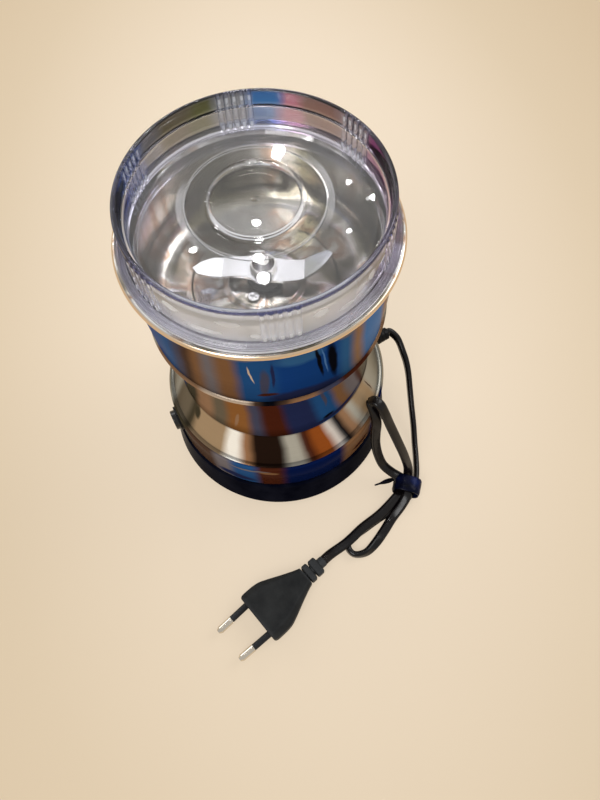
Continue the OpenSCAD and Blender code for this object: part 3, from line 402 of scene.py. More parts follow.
def bevelled_section(x, w, t, bevel, edge=0.9):
    """Oblong section with bevelled long edges and small roundings, in the plane across the plug."""
    steepness, per_corner = 0.75, 4
    hw, ht = w / 2, t / 2
    b = min(bevel, hw - edge, ht - edge)
    corners = []
    for sx, sy in ((1, 1), (-1, 1), (-1, -1), (1, -1)):
        pair = [(sx * hw, sy * (ht - b * steepness)), (sx * (hw - b), sy * ht)]
        corners += pair if sx * sy > 0 else pair[::-1]
    ring = []
    for i, corner in enumerate(corners):
        p, q, r = Vector(corners[i - 1]), Vector(corner), Vector(corners[(i + 1) % len(corners)])
        reach = min(edge, (q - p).length / 2.2, (r - q).length / 2.2)
        a = q + (p - q).normalized() * reach
        c = q + (r - q).normalized() * reach
        for k in range(per_corner + 1):
            u = k / per_corner
            m = (1 - u) ** 2 * a + 2 * u * (1 - u) * q + u * u * c
            ring.append((x, m.x, m.y))
    return ring


def interpolate(rows, x):
    """Smoothly reads the table of rows, whose first column falls, at x."""
    for i in range(len(rows) - 1):
        if rows[i][0] >= x >= rows[i + 1][0]:
            return between(rows, i, (rows[i][0] - x) / (rows[i][0] - rows[i + 1][0]), 1)
    return Vector(rows[-1][1:])


def build_plug():
    """Head of the plug, and the blocks and core of its bend guard."""
    steps, crowding = 72, 1.25
    front, back = PLUG_SECTIONS[0][0], PLUG_SECTIONS[-1][0]
    sections = []
    for i in range(steps + 1):
        x = front + (back - front) * (i / steps) ** crowding
        w, t, bevel = interpolate(PLUG_SECTIONS, x)
        sections.append(bevelled_section(x, w, t, bevel))
    head = place(skin("plug_head", sections[::-1], 40), PLUG_PLACE)
    guards = []
    near, far = 0.25, 0.7
    for i, (x0, x1, w, t) in enumerate(GUARD_BLOCKS):
        ends = ((x1, far), (x1 + near, near), (x1 + far, 0), (x0 - far, 0), (x0 - near, near), (x0, far))
        rings = [bevelled_section(x, w - 2 * cut, t - 2 * cut, GUARD_BEVEL, GUARD_EDGE) for x, cut in ends]
        guards.append(place(skin(f"plug_guard_{i}", rings, 40), PLUG_PLACE))
    turns = [2 * pi * j / 24 for j in range(24)]
    core = [[(x, r * cos(a), r * sin(a)) for a in turns]
            for x, r in ((-PLUG_LEN, GUARD_CORE_R - 0.4), (-PLUG_LEN + 0.5, GUARD_CORE_R),
                         (GUARD_CORE_START, GUARD_CORE_R))]
    guards.append(place(skin("plug_guard_core", core, 40), PLUG_PLACE))
    return head, guards


plug_head, plug_guards = build_plug()

# ---- turned skins ----

CURL_R = 1.3
BOWL_HOLE_R = 7
BOWL_HUB_R = 15
BOWL_STEP_R = 30
BOWL_ROUND = 10
HUB_BLEND = 3
STEP_BLEND = 2
FLOOR_Z = RIM_Z - BOWL_DEPTH
STEP_RISE = 1.6
HUB_RISE = 3.4


def blend_down(r0, z0, r1, z1, n=6):
    """Soft S-shaped step between two levels of a pressed sheet."""
    return [(r0 + (r1 - r0) * i / n, z0 + (z1 - z0) * (1 - cos(pi * i / n)) / 2) for i in range(n + 1)]


def build_bowl():
    """Pressed bowl, from the hole for the shaft out to the rolled rim."""
    hub, step = FLOOR_Z + HUB_RISE, FLOOR_Z + STEP_RISE
    path = [
        (BOWL_HOLE_R, hub), (BOWL_HUB_R - 1, hub),
        *blend_down(BOWL_HUB_R, hub, BOWL_HUB_R + HUB_BLEND, step),
        *blend_down(BOWL_STEP_R, step, BOWL_STEP_R + STEP_BLEND, FLOOR_Z),
        *arc(BOWL_R - BOWL_ROUND, FLOOR_Z + BOWL_ROUND, BOWL_ROUND, -90, 0, 16),
        *arc(BOWL_R + 1, RIM_Z - 1, 1, 180, 90, 6),
        *arc(RIM_R - CURL_R, RIM_Z - CURL_R, CURL_R, 90, 0, 8), (RIM_R, RIM_Z - CURL_R - 0.3),
    ]
    return lathe("bowl", thicken(path, SHEET))


bowl = build_bowl()

CUP_R = 51.7
CUP_FLARE = 1.9
CUP_ROUND = 1
CUP_FOOT_W = 4


def build_cup():
    """Flared band round the bowl, from its foot on the bead up to the rim."""
    top = RIM_Z - SHEET
    side = RIM_R - SHEET - 2 * RUN_GAP
    path = [
        (CUP_R - CUP_FOOT_W, CUP_Z), *arc(CUP_R - CUP_ROUND, CUP_Z + CUP_ROUND, CUP_ROUND, -90, 0, 6),
        (CUP_R + CUP_FLARE - 0.3, RIM_Z - 6), (CUP_R + CUP_FLARE, RIM_Z - 4), (side, top - 1.5), (side, top),
    ]
    return lathe("cup_band", thicken(path, -SHEET))


cup_band = build_cup()


def build_bead():
    r = (CUP_Z - BEAD_Z) / 2
    inner = NECK_R - SHEET - NECK_WAIST
    return lathe("bead", [(inner, BEAD_Z)] + arc(BEAD_R - r, BEAD_Z + r, r, -90, 90, 16) + [(inner, CUP_Z)])


bead = build_bead()


NECK_STEPS = 16
SHOULDER_ROUND = 2.8


def neck_radius(u):
    """Radius of the waisted neck, from its foot at u = 0 to its top at u = 1."""
    return NECK_R - NECK_WAIST * sin(pi * u) + (NECK_TOP_R - NECK_R) * u ** 3


def build_body():
    """Lower band, conical shoulder and waisted neck in one sheet."""
    run = BEAD_Z - NECK_Z - 1
    path = [
        (BAND_R - 0.25, BAND_Z), (BAND_R, BAND_Z + 0.4),
        *arc(BAND_R - SHOULDER_ROUND, SHOULDER_Z - SHOULDER_ROUND, SHOULDER_ROUND, 0, 80, 10),
        (BAND_R - 2.9, SHOULDER_Z), (NECK_R + 0.35, NECK_Z - 0.3), (NECK_R, NECK_Z + 0.4),
        *((neck_radius(i / NECK_STEPS), NECK_Z + run * i / NECK_STEPS) for i in range(1, NECK_STEPS + 1)),
        (NECK_TOP_R, BEAD_Z),
    ]
    return lathe("waisted_body", thicken(path, -SHEET))


body = build_body()

# ---- cap ----

LID_IN_R = LID_R - LID_WALL
LID_RECESS = 6
LID_DOME = 2
LID_SKIRT = 6
FACE_Z = LID_TOP - LID_RECESS
SKIRT_R = BOWL_R - RUN_GAP - FIT
LIP_ROUND = 0.9
FLANGE_T = 2
FLANGE_RINGS = 4
FLANGE_RING_DEPTH = 0.09
GATE_R = 16.9
GATE_STEP = 0.5
PAD_R = 25.5
PAD_RISE = 0.3
RIB_PHASE = 34
RIB_GROUPS = 6
RIBS = 5
RIB_PITCH = 3.4
RIB_OUT = 0.4
RIB_HALF = 1.15
# Heights between which the wall carries ribs, outside and inside
RIBS_OUTSIDE = (SEAT_Z + 2.1, LID_TOP - 1.2)
RIBS_INSIDE = (SEAT_Z + 3, FACE_Z - LID_WALL - 1.2)
LID_STEPS = 1080


def dome_z(r):
    """Height of the cap's domed face at radius r."""
    return FACE_Z + LID_DOME * (1 - (r / LID_IN_R) ** 2)


def rib_height(azimuth):
    """How far the ribs stand out of the cap's wall at an azimuth in radians."""
    span = 360 / RIB_GROUPS
    off = (degrees(azimuth) - RIB_PHASE + span / 2) % span - span / 2
    k = round(off / RIB_PITCH)
    if abs(k) > RIBS // 2:
        return 0
    x = (off - k * RIB_PITCH) / RIB_HALF
    return RIB_OUT * sqrt(max(0, 1 - x * x))


def lid_swell(azimuth, r, z):
    """Ribs on both sides of the cap's wall."""
    if LID_R - 0.95 < r < LID_R + 0.35 and RIBS_OUTSIDE[0] < z < RIBS_OUTSIDE[1]:
        return rib_height(azimuth)
    if abs(r - LID_IN_R) < 0.05 and RIBS_INSIDE[0] < z < RIBS_INSIDE[1]:
        return -rib_height(azimuth)
    return 0


def ripple(r0, r1, z, depth, count):
    """Fine turned rings on a level face."""
    n = count * 4
    return [(r0 + (r1 - r0) * i / n, z + depth * sin(2 * pi * count * i / n)) for i in range(n + 1)]


def build_lid():
    """Clear cap with a recessed, slightly domed face, a flange and a skirt that goes into the bowl."""
    gate, under, pad = dome_z(GATE_R), FACE_Z - LID_WALL, LID_WALL + PAD_RISE
    outline = [
        # Face
        (0, dome_z(0) - 0.1), (0.9, dome_z(0) - 0.15), (1.5, dome_z(0) - GATE_STEP),
        *((r, dome_z(r) - GATE_STEP) for r in (4, 8, 12)),
        (GATE_R - 0.8, gate - GATE_STEP), (GATE_R - 0.3, gate + 0.05),
        (GATE_R + 0.2, gate + 0.12), (GATE_R + 0.9, gate),
        *((r, dome_z(r)) for r in (20, 24, 28, 32, 36, 40, 43, LID_IN_R - 2)),
        (LID_IN_R - 1, FACE_Z + 0.1), (LID_IN_R - 0.3, FACE_Z + 0.35), (LID_IN_R, FACE_Z + 1.1),
        # Wall, flange and skirt
        *arc(LID_IN_R + LIP_ROUND, LID_TOP - LIP_ROUND, LIP_ROUND, 180, 90, 6),
        *arc(LID_R - LIP_ROUND, LID_TOP - LIP_ROUND, LIP_ROUND, 90, 0, 6),
        (LID_R, LID_TOP - 1.25), (LID_R, LID_TOP - 2.4),
        (LID_R + 0.3, SEAT_Z + 3.4), (LID_R + 0.3, SEAT_Z + 2.3), (LID_R + 0.6, SEAT_Z + FLANGE_T),
        *ripple(LID_R + 1, FLANGE_R - 0.8, SEAT_Z + FLANGE_T, FLANGE_RING_DEPTH, FLANGE_RINGS),
        (FLANGE_R, SEAT_Z + 1.2), (FLANGE_R, SEAT_Z), (SKIRT_R, SEAT_Z),
        (SKIRT_R - 0.3, SEAT_Z - LID_SKIRT), (SKIRT_R - LID_WALL, SEAT_Z - LID_SKIRT),
        # Inside
        (SKIRT_R - LID_WALL, SEAT_Z - 0.5), (LID_IN_R, SEAT_Z + 1), (LID_IN_R, SEAT_Z + 3.6),
        (LID_IN_R, under - 2.2), (LID_IN_R, under - 1), (LID_IN_R - 1, under),
        *((r, dome_z(r) - LID_WALL) for r in (43, 36, 28, PAD_R + 0.5)),
        *((r, dome_z(r) - pad) for r in (PAD_R, 20)),
        (GATE_R, gate - pad - 0.2), (GATE_R - 1, gate - pad - GATE_STEP),
        *((r, dome_z(r) - pad - GATE_STEP) for r in (12, 6, 0)),
    ]
    return lathe("clear_cap", outline, LID_STEPS, lid_swell, sharp=28)


lid = build_lid()

# ---- push button ----

COLLAR_FACE = BAND_R + 0.9
BUTTON_TOP = COLLAR_FACE + 2.4
BUTTON_BACK = BAND_R - 4
PLUNGER_BACK = 44
PLUNGER_R = 1.3


def build_button():
    """Slightly dished button, on the plunger that goes into the switch."""
    edge, chamfer = 0.55, 0.2
    outline = [(0, PLUNGER_BACK), (PLUNGER_R, PLUNGER_BACK), (PLUNGER_R, BUTTON_BACK)]
    outline += [(BUTTON_R - chamfer, BUTTON_BACK), (BUTTON_R, BUTTON_BACK + chamfer)]
    outline += arc(BUTTON_R - edge, BUTTON_TOP - edge, edge, 0, 90, 6)
    dish = [(BUTTON_R - 1.4, 0.03), (BUTTON_R - 2.6, 0.16), (0, 0.25)]
    outline += [(r, BUTTON_TOP - depth) for r, depth in dish]
    return place(lathe("push_button", outline, 96), along_radius(BUTTON_AZ, BUTTON_Z))


button = build_button()

# ---- materials ----


class Nodes:
    """The nodes of a material or a world, and short ways to add to them."""

    def __init__(self, owner, output):
        self.owner = owner
        owner.use_nodes = True
        self.nodes, self.links = owner.node_tree.nodes, owner.node_tree.links
        self.nodes.clear()
        self.output = self.add(output)

    def put(self, socket, value):
        if isinstance(value, bpy.types.NodeSocket):
            self.links.new(value, socket)
        else:
            socket.default_value = value

    def add(self, kind, inputs=(), **settings):
        node = self.nodes.new("ShaderNode" + kind)
        for key, value in settings.items():
            setattr(node, key, value)
        for key, value in dict(inputs).items():
            self.put(node.inputs[key], value)
        return node

    def close(self, shader):
        self.links.new(shader.outputs[0], self.output.inputs["Surface"])
        return self.owner


class Shader(Nodes):
    """A material. Its radii, heights and places are the object's, in metres."""

    def __init__(self, name):
        super().__init__(bpy.data.materials.new(name), "OutputMaterial")
        self.where = self.add("TexCoord").outputs["Object"]

    def math(self, operation, a, b=0.0, c=0.0):
        return self.add("Math", {0: a, 1: b, 2: c}, operation=operation).outputs[0]

    def line(self, value, slope, offset):
        return self.math("MULTIPLY_ADD", value, slope, offset)

    def times(self, a, b):
        return self.math("MULTIPLY", a, b)

    def less(self, a, b):
        return self.math("SUBTRACT", a, b)

    def most(self, a, b):
        return self.math("MAXIMUM", a, b)

    def above(self, value, limit):
        """1 where the value is above the limit, and 0 elsewhere."""
        return self.math("GREATER_THAN", value, limit)

    def below(self, value, limit):
        return self.math("LESS_THAN", value, limit)

    def share(self, value, low_end, high_end):
        """0 at the low end and 1 at the high end."""
        span = high_end - low_end
        return self.line(value, 1 / span, -low_end / span)

    def off_middle(self, value, middle, half):
        """0 in the middle, and 1 or -1 at half on either side."""
        return self.line(value, 1 / half, -middle / half)

    def oval(self, across, along):
        """Squared distance from the middle of an oval."""
        return self.line(along, along, self.times(across, across))

    def rescale(self, value, a, b, to_a, to_b):
        """to_a where the value is a, and to_b where it is b."""
        inputs = {"Value": value, "From Min": a, "From Max": b, "To Min": to_a, "To Max": to_b}
        return self.add("MapRange", inputs).outputs[0]

    def mix(self, factor, a, b, mode="MIX"):
        # On this node 6 and 7 are the colours that go in, and 2 is the one that comes out
        return self.add("Mix", {0: factor, 6: a, 7: b}, data_type="RGBA", blend_type=mode).outputs[2]

    def ramp(self, value, stops):
        """Colour by value, from (value, colour)."""
        node = self.add("ValToRGB", {"Fac": value})
        ramp = node.color_ramp
        ramp.interpolation = "LINEAR"
        while len(ramp.elements) > 1:
            ramp.elements.remove(ramp.elements[-1])
        ramp.elements[0].position, ramp.elements[0].color = stops[0]
        for position, colour in stops[1:]:
            ramp.elements.new(position).color = colour
        return node.outputs["Color"]

    def tones(self, value, stops):
        """Colour by value, from (value, red, green, blue)."""
        return self.ramp(value, [(at, srgb(*rgb)) for at, *rgb in stops])

    def greys(self, value, stops):
        """Strength by value, from (value, strength)."""
        return self.ramp(value, [(at, (v, v, v, 1)) for at, v in stops])

    def around(self, azimuth, stops):
        """Strength by azimuth, from (degrees, strength)."""
        return self.greys(azimuth, [(at_azimuth(az), v) for az, v in stops])

    def xyz(self):
        return self.add("SeparateXYZ", {0: self.where}).outputs

    def turned(self):
        """Azimuth as 0 to 1 from -180 to 180 degrees, radius and height, about the grinder's axis."""
        x, y, z = self.xyz()
        azimuth = self.line(self.math("ARCTAN2", y, x), 0.5 / pi, 0.5)
        radius = self.math("SQRT", self.math("ADD", self.times(x, x), self.times(y, y)))
        return azimuth, radius, z

    def noise(self, scale, detail=3, roughness=0.55, at=None):
        inputs = {"Vector": at or self.where, "Scale": scale, "Detail": detail, "Roughness": roughness}
        return self.add("TexNoise", inputs).outputs["Fac"]

    def wandering(self, value, reach, scale):
        """The value with soft noise on it, so that the edges that it draws wander."""
        return self.line(self.less(self.noise(scale), 0.5), reach, value)

    def turned_lines(self, azimuth, radius, height, scale, detail):
        """Noise drawn out into fine lines round the axis."""
        rings = self.add("CombineXYZ", {"X": azimuth, "Y": radius, "Z": height})
        return self.noise(scale, detail, 0.7, rings.outputs[0])

    def bump(self, height, distance, strength=1.0):
        """Normals of a relief that is distance high, in millimetres."""
        inputs = {"Height": height, "Distance": distance * MM, "Strength": strength}
        return self.add("Bump", inputs).outputs[0]

    def principled(self, **inputs):
        return self.add("BsdfPrincipled", {key.replace("_", " "): value for key, value in inputs.items()})

    def coat(self, **inputs):
        return self.close(self.principled(**inputs))


def at_azimuth(az):
    """Place of an azimuth in degrees on a ramp."""
    return (az + 180) / 360


def patches(starts, blur=2.4):
    """Ramp stops for areas with soft edges, from (azimuth where each starts, colour)."""
    stops = []
    ends = [az for az, _ in starts[1:]] + [180]
    for (start, colour), end in zip(starts, ends):
        soft = min(blur, (end - start) / 2.5)
        stops.append((at_azimuth(start + soft), colour))
        stops.append((at_azimuth(end - soft), colour))
    return stops


# Painted reflections in the polished steel: the colours of a dim room with warm and blue places
INK = srgb(14, 15, 22)
NAVY = srgb(38, 46, 84)
TEAL = srgb(38, 82, 136)
ROYAL = srgb(24, 66, 132)
DEEP = srgb(10, 26, 72)
BLUE = srgb(54, 98, 146)
SKY = srgb(82, 124, 182)
SLATE = srgb(72, 74, 96)
LILAC = srgb(116, 110, 114)
UMBER = srgb(36, 24, 18)
COCOA = srgb(80, 60, 48)
BROWN = srgb(128, 94, 66)
TAN = srgb(152, 118, 90)
ORANGE = srgb(142, 96, 54)
BRICK = srgb(74, 36, 22)
RUST = srgb(146, 78, 32)
GOLD = srgb(158, 118, 86)
OLIVE = srgb(66, 60, 46)
STONE = srgb(108, 98, 82)
BEIGE = srgb(166, 142, 112)
PINK = srgb(206, 186, 166)
PALE = srgb(176, 174, 164)
SILVER = srgb(214, 208, 204)
WHITE = srgb(255, 253, 246)

# Areas of painted reflection round each zone, the white one on the shoulder a painted highlight: azimuth
# where it starts, and colour
CUP_AREAS = [
    (-180, PALE), (-168, NAVY), (-158, ROYAL), (-145, TEAL), (-137, SLATE), (-132, COCOA), (-127.6, BROWN),
    (-122.2, LILAC), (-115.7, BROWN), (-106.5, TEAL), (-90.5, ROYAL), (-62, BLUE), (-54.7, TAN), (-48.8, SKY),
    (-33, TAN), (-22, PALE),
]
NECK_AREAS = [
    (-180, PALE), (-168, ROYAL), (-156, OLIVE), (-142, TAN), (-130.5, STONE), (-121.8, ORANGE),
    (-108.8, SLATE), (-101.8, BRICK), (-89, NAVY), (-72.3, TEAL), (-59, BROWN), (-50.6, LILAC), (-40, BRICK),
    (-37, STONE), (-18, PALE),
]
SHOULDER_AREAS = [
    (-180, PALE), (-168, STONE), (-152, OLIVE), (-147.5, BEIGE), (-124, WHITE), (-115, GOLD), (-109.6, UMBER),
    (-91, PALE), (-81, BRICK), (-75, RUST), (-65, SILVER), (-59.3, INK), (-54, TAN), (-47, PALE),
    (-41.6, BEIGE), (-26, PALE),
]
BAND_AREAS = [
    (-180, PALE), (-168, OLIVE), (-150, COCOA), (-130, LILAC), (-120, TEAL), (-106.7, BRICK), (-92, DEEP),
    (-59, BROWN), (-37, DEEP), (-18, PALE),
]
BEAD_AREAS = [
    (-180, PALE), (-160, TAN), (-128, PINK), (-103, COCOA), (-99, INK), (-90, COCOA), (-86, GOLD),
    (-72, SLATE), (-60, BRICK), (-40, TAN), (-20, PALE),
]

# Smaller painted reflections and highlights: azimuth, height, half width in degrees, half height, degrees of
# lean per mm and colour
CUP_BLOTS = [
    (-100.4, 146, 0.5, 8, -0.07, PINK), (-95.5, 138, 2.4, 14, 0.08, SLATE), (-91.6, 145, 0.9, 12, 0.03, NAVY),
    (-94.7, 127.3, 5.4, 1.9, 0, BRICK), (-80, 156, 12, 7, 0, BLUE), (-78, 123, 22, 6, 0, NAVY),
    (-72, 147, 1.2, 16, -0.16, INK), (-69.3, 146, 0.5, 13, -0.16, SKY), (-65.4, 143, 2.6, 18, -0.14, INK),
    (-60, 158, 5, 4, 0, LILAC), (-108, 159, 12, 3, 0, LILAC),
]
BODY_BLOTS = [
    (-62, 76, 4.5, 2.2, 0, INK), (-56, 73, 26, 2.2, 0, NAVY), (-100, 110, 26, 4, 0, OLIVE),
    (-117, 84, 1.4, 9, 0.2, TAN), (-66, 98, 1.4, 12, -0.2, SLATE), (-120, 60, 3.2, 9, -0.05, WHITE),
    (-26.4, 62.6, 0.5, 7, -0.3, COCOA), (-146, 66, 3, 6, 0, OLIVE), (-118, 32, 12, 4, 0, NAVY),
    (-100, 44, 6, 2, 0, BROWN), (-46, 33, 8, 3, 0, BRICK), (-112, 46, 14, 1.2, 0, LILAC),
]

# The side of the body on which the room's reflections are painted: azimuth and strength. The back is plain
# pale steel.
ROOM_SIDE = [(-178, 0), (-160, 1), (-34, 1), (-12, 0)]
# Share of metal on that side
ROOM_METAL = 0.2
# How far the edges of the areas wander, in degrees
WANDER = 2.2
# Roughness that a brushed place adds
DULL_ROUGH = 0.14


def painted_steel(name, rows, blots, shades, rough, dull=None, line_depth=0.004, edge=0.3):
    """Steel with the soft reflections of a room painted into its colour.

    rows: areas of painted reflection, azimuth that their edges spread from, spread per mm, height where they
    are drawn, and height where the row ends. shades: painted shade by height. dull: heights between which the
    surface
    is brushed. edge: brightness at a grazing angle.
    """
    s = Shader(name)
    azimuth, radius, height = s.turned()
    z = s.math("DIVIDE", height, MM)
    loose = s.wandering(s.line(azimuth, 360.0, -180.0), 2 * WANDER, 38)
    loose_z = s.wandering(z, 3 * WANDER, 52)
    room_side = s.around(azimuth, ROOM_SIDE)
    colour, below = None, None
    for areas, centre, spread, drawn_at, top in rows:
        lean = s.times(s.line(z, spread, -spread * drawn_at), room_side)
        fan = s.line(s.less(loose, centre), lean, loose)
        row = s.ramp(s.line(fan, 1 / 360, 0.5), patches(areas))
        colour = row if colour is None else s.mix(s.above(z, below), colour, row)
        below = top
    for az, at, half_az, half_z, lean, tint in blots:
        middle = s.line(z, -lean / half_az, (lean * at - az) / half_az)
        far = s.oval(s.line(loose, 1 / half_az, middle), s.off_middle(loose_z, at, half_z))
        colour = s.mix(s.greys(far, [(0.35, 1), (1.0, 0)]), colour, tint)
    low_z, high_z = shades[0][0], shades[-1][0]
    shade = s.greys(s.share(z, low_z, high_z), [((at - low_z) / (high_z - low_z), v) for at, v in shades])
    colour = s.mix(1.0, colour, shade, "MULTIPLY")
    lines = s.turned_lines(azimuth, s.times(radius, 900), s.times(height, 900), 3.2, 4)
    streaked = s.mix(0.5, colour, s.greys(lines, [(0.3, 0.8), (0.7, 1.0)]), "MULTIPLY")
    rough_map = s.rescale(s.math("ADD", lines, s.noise(28, 4)), 0.7, 1.3, rough * 0.75, rough * 1.35)
    if dull:
        rough_map = s.line(s.times(s.above(z, dull[0]), s.below(z, dull[1])), DULL_ROUGH, rough_map)
    return s.coat(
        Base_Color=streaked, Metallic=s.line(room_side, ROOM_METAL - 1, 1.0), Roughness=rough_map,
        Specular_Tint=(edge, edge, edge, 1), Specular_IOR_Level=0.0, Normal=s.bump(lines, line_depth))


def tinted(rgb, share, lift=0.0):
    """A colour written as 0 to 255, times a share, with lift added."""
    return tuple(min(1, c * share + lift) for c in srgb(*rgb)[:3]) + (1,)


def steel(name, rgb, rough, grain=300, depth=0.01):
    """Steel without coloured areas, with a fine grain and light smears."""
    s = Shader(name)
    smears = s.noise(60, 4)
    shade = s.mix(s.greys(smears, [(0.35, 0), (0.7, 1)]), srgb(*rgb), tinted(rgb, 0.82))
    return s.coat(
        Base_Color=shade, Metallic=1.0, Roughness=s.rescale(smears, 0.3, 0.7, rough * 0.8, rough * 1.3),
        Normal=s.bump(s.noise(grain), depth))


def moulded(name, rgb, rough, grain=900, depth=0.03, vary=0.25, gloss=0.5):
    """Moulded plastic or rubber with a fine grain, faint mottling and a worn sheen."""
    s = Shader(name)
    mottle = s.noise(70, 4)
    dark, light = tinted(rgb, 1 - vary), tinted(rgb, 1 + vary, 0.004)
    return s.coat(
        Base_Color=s.mix(s.greys(mottle, [(0.35, 0), (0.65, 1)]), dark, light),
        Roughness=s.rescale(mottle, 0.3, 0.7, rough * 0.85, min(1, rough * 1.2)),
        Specular_IOR_Level=gloss, Normal=s.bump(s.noise(grain, 3, 0.6), depth))


def bowl_steel():
    """Spun bowl: silver with fine turned rings, dull olive and brown sectors of painted reflection, and a
    pale gold rolled rim.
    """
    s = Shader("bowl_steel_spun")
    azimuth, radius, z = s.turned()
    lines = s.turned_lines(azimuth, s.times(radius, 1000), s.times(z, 700), 2.2, 5)
    # Painted reflections: dark olive, brown and bright sectors
    sweep_at = s.add("CombineXYZ", {"X": s.times(azimuth, 9), "Y": s.times(radius, 34), "Z": z})
    shade = s.tones(s.noise(1.6, 2, 0.5, sweep_at.outputs[0]), [
        (0.34, 104, 98, 76), (0.42, 150, 144, 134), (0.49, 196, 194, 188), (0.55, 166, 138, 116),
        (0.6, 214, 214, 212), (0.68, 236, 236, 234),
    ])
    streaked = s.mix(0.4, shade, s.greys(lines, [(0.3, 0.82), (0.7, 1.0)]), "MULTIPLY")
    gilded = s.mix(s.above(radius, (RIM_R - 0.8) * MM), streaked, srgb(236, 210, 180))
    return s.coat(Base_Color=gilded, Metallic=1.0, Roughness=0.2, Normal=s.bump(lines, 0.004))


CLEAR = srgb(250, 250, 252)
# Colour that the haze and the painted sheen turn the cap towards
PALE_HAZE_AND_SHEEN = srgb(222, 226, 232)
# Painted reflections of the room in the back of the cap's wall: azimuth where each starts, and colour
CAUGHT_AREAS = [(az, srgb(*rgb)) for az, *rgb in [
    (-180, 96, 124, 186), (-166, 186, 188, 214), (-142, 250, 250, 252), (-44, 206, 190, 214),
    (-14, 150, 84, 140), (26, 152, 138, 146), (44, 142, 116, 112), (64, 186, 130, 156), (74, 64, 122, 196),
    (88, 126, 136, 152), (103, 92, 98, 66), (116, 98, 96, 82), (132, 104, 108, 120), (145, 44, 78, 158),
    (168, 70, 92, 156),
]]
# Painted gleams, soft bright places on the cap's front wall: azimuth, level from seat to top, half widths and
# strength
FRONT_GLEAMS = [
    (-130, 0.6, 5, 0.14, 0.75), (-118, 0.3, 9, 0.09, 0.8), (-107, 0.62, 7, 0.12, 0.6),
    (-96, 0.3, 3, 0.1, 0.8), (-70, 0.55, 6, 0.14, 0.8), (-58, 0.35, 5, 0.1, 0.7), (-44, 0.6, 4, 0.16, 0.7),
]
# Painted sheen on the front of the cap's wall and of its flange, drawn as pale haze: azimuth and strength
FRONT_PAINTED_SHEEN = [(-150, 0.0), (-125, 0.42), (-60, 0.42), (-35, 0.0)]
FLANGE_PAINTED_SHEEN = [
    (-175, 0.25), (-150, 0.7), (-125, 1), (-70, 1), (-45, 0.6), (-20, 0.2), (20, 0.15), (160, 0.2)]
# Hazy rings on the cap's face, some painted stronger on some sides as painted reflections: radius, half
# width, and strength by azimuth
FACE_RINGS = [
    (GATE_R, 0.4, [(-175, 0.1), (-150, 0.45), (-30, 0.45), (-5, 0.1)]),
    (PAD_R, 0.25, [(-180, 0.2), (180, 0.2)]),
    (PAD_R + 1.6, 1.2, [(-180, 0.12), (-150, 0.08), (-130, 0), (-40, 0), (-20, 0.1), (20, 0.14), (45, 0),
                        (150, 0), (168, 0.12)]),
]


class CapShader(Shader):
    """A shader that knows where the zones of the cap are."""

    def __init__(self, name):
        super().__init__(name)
        self.azimuth, self.radius, height = self.turned()
        self.degrees = self.line(self.azimuth, 360.0, -180.0)
        self.loose = self.wandering(self.degrees, 14.0, 70)
        self.level = self.share(height, SEAT_Z * MM, LID_TOP * MM)
        self.across_gate = self.share(self.xyz()[1], -GATE_R * MM, GATE_R * MM)
        self.on_wall = self.beyond(LID_IN_R - 0.6)
        self.outside = self.beyond(LID_R - 0.25)

    def beyond(self, r):
        return self.above(self.radius, r * MM)

    def within(self, r):
        return self.below(self.radius, r * MM)


def cap_colour(s):
    """Painted reflections of the room in the back of the wall, painted dark blue reflections on the edges,
    and a gate painted darker towards the back as a painted reflection.
    """
    caught = s.ramp(s.line(s.loose, 1 / 360, 0.5), patches(CAUGHT_AREAS, 2.5))
    high_wall = s.greys(s.level, [
        (0.08, 0.2), (0.2, 0.75), (0.66, 0.8), (0.7, 1.0), (0.95, 1.0), (1.0, 0.6)])
    tint = s.mix(s.times(s.on_wall, high_wall), CLEAR, caught)
    inner_edges = s.tones(s.level, [
        (0.0, 200, 196, 216), (0.14, 246, 246, 252), (0.65, 246, 246, 252), (0.68, 70, 76, 140),
        (0.71, 246, 246, 252), (0.965, 190, 188, 206), (1.0, 96, 92, 124)])
    outer_edges = s.tones(s.level, [
        (0.0, 184, 180, 188), (0.1, 196, 192, 200), (0.14, 250, 250, 253), (0.9, 250, 250, 253),
        (0.94, 46, 52, 112), (0.975, 60, 66, 130), (1.0, 74, 72, 110)])
    edges = s.mix(s.on_wall, (1, 1, 1, 1), s.mix(s.outside, inner_edges, outer_edges))
    colour = s.mix(1.0, tint, edges, "MULTIPLY")
    # Painted reflection: the gate darker towards the back
    gate_tone = s.tones(s.across_gate, [(0.3, 248, 247, 244), (0.55, 226, 224, 214), (0.9, 206, 206, 198)])
    return s.mix(s.within(GATE_R - 0.5), colour, s.mix(1.0, colour, gate_tone, "MULTIPLY"))


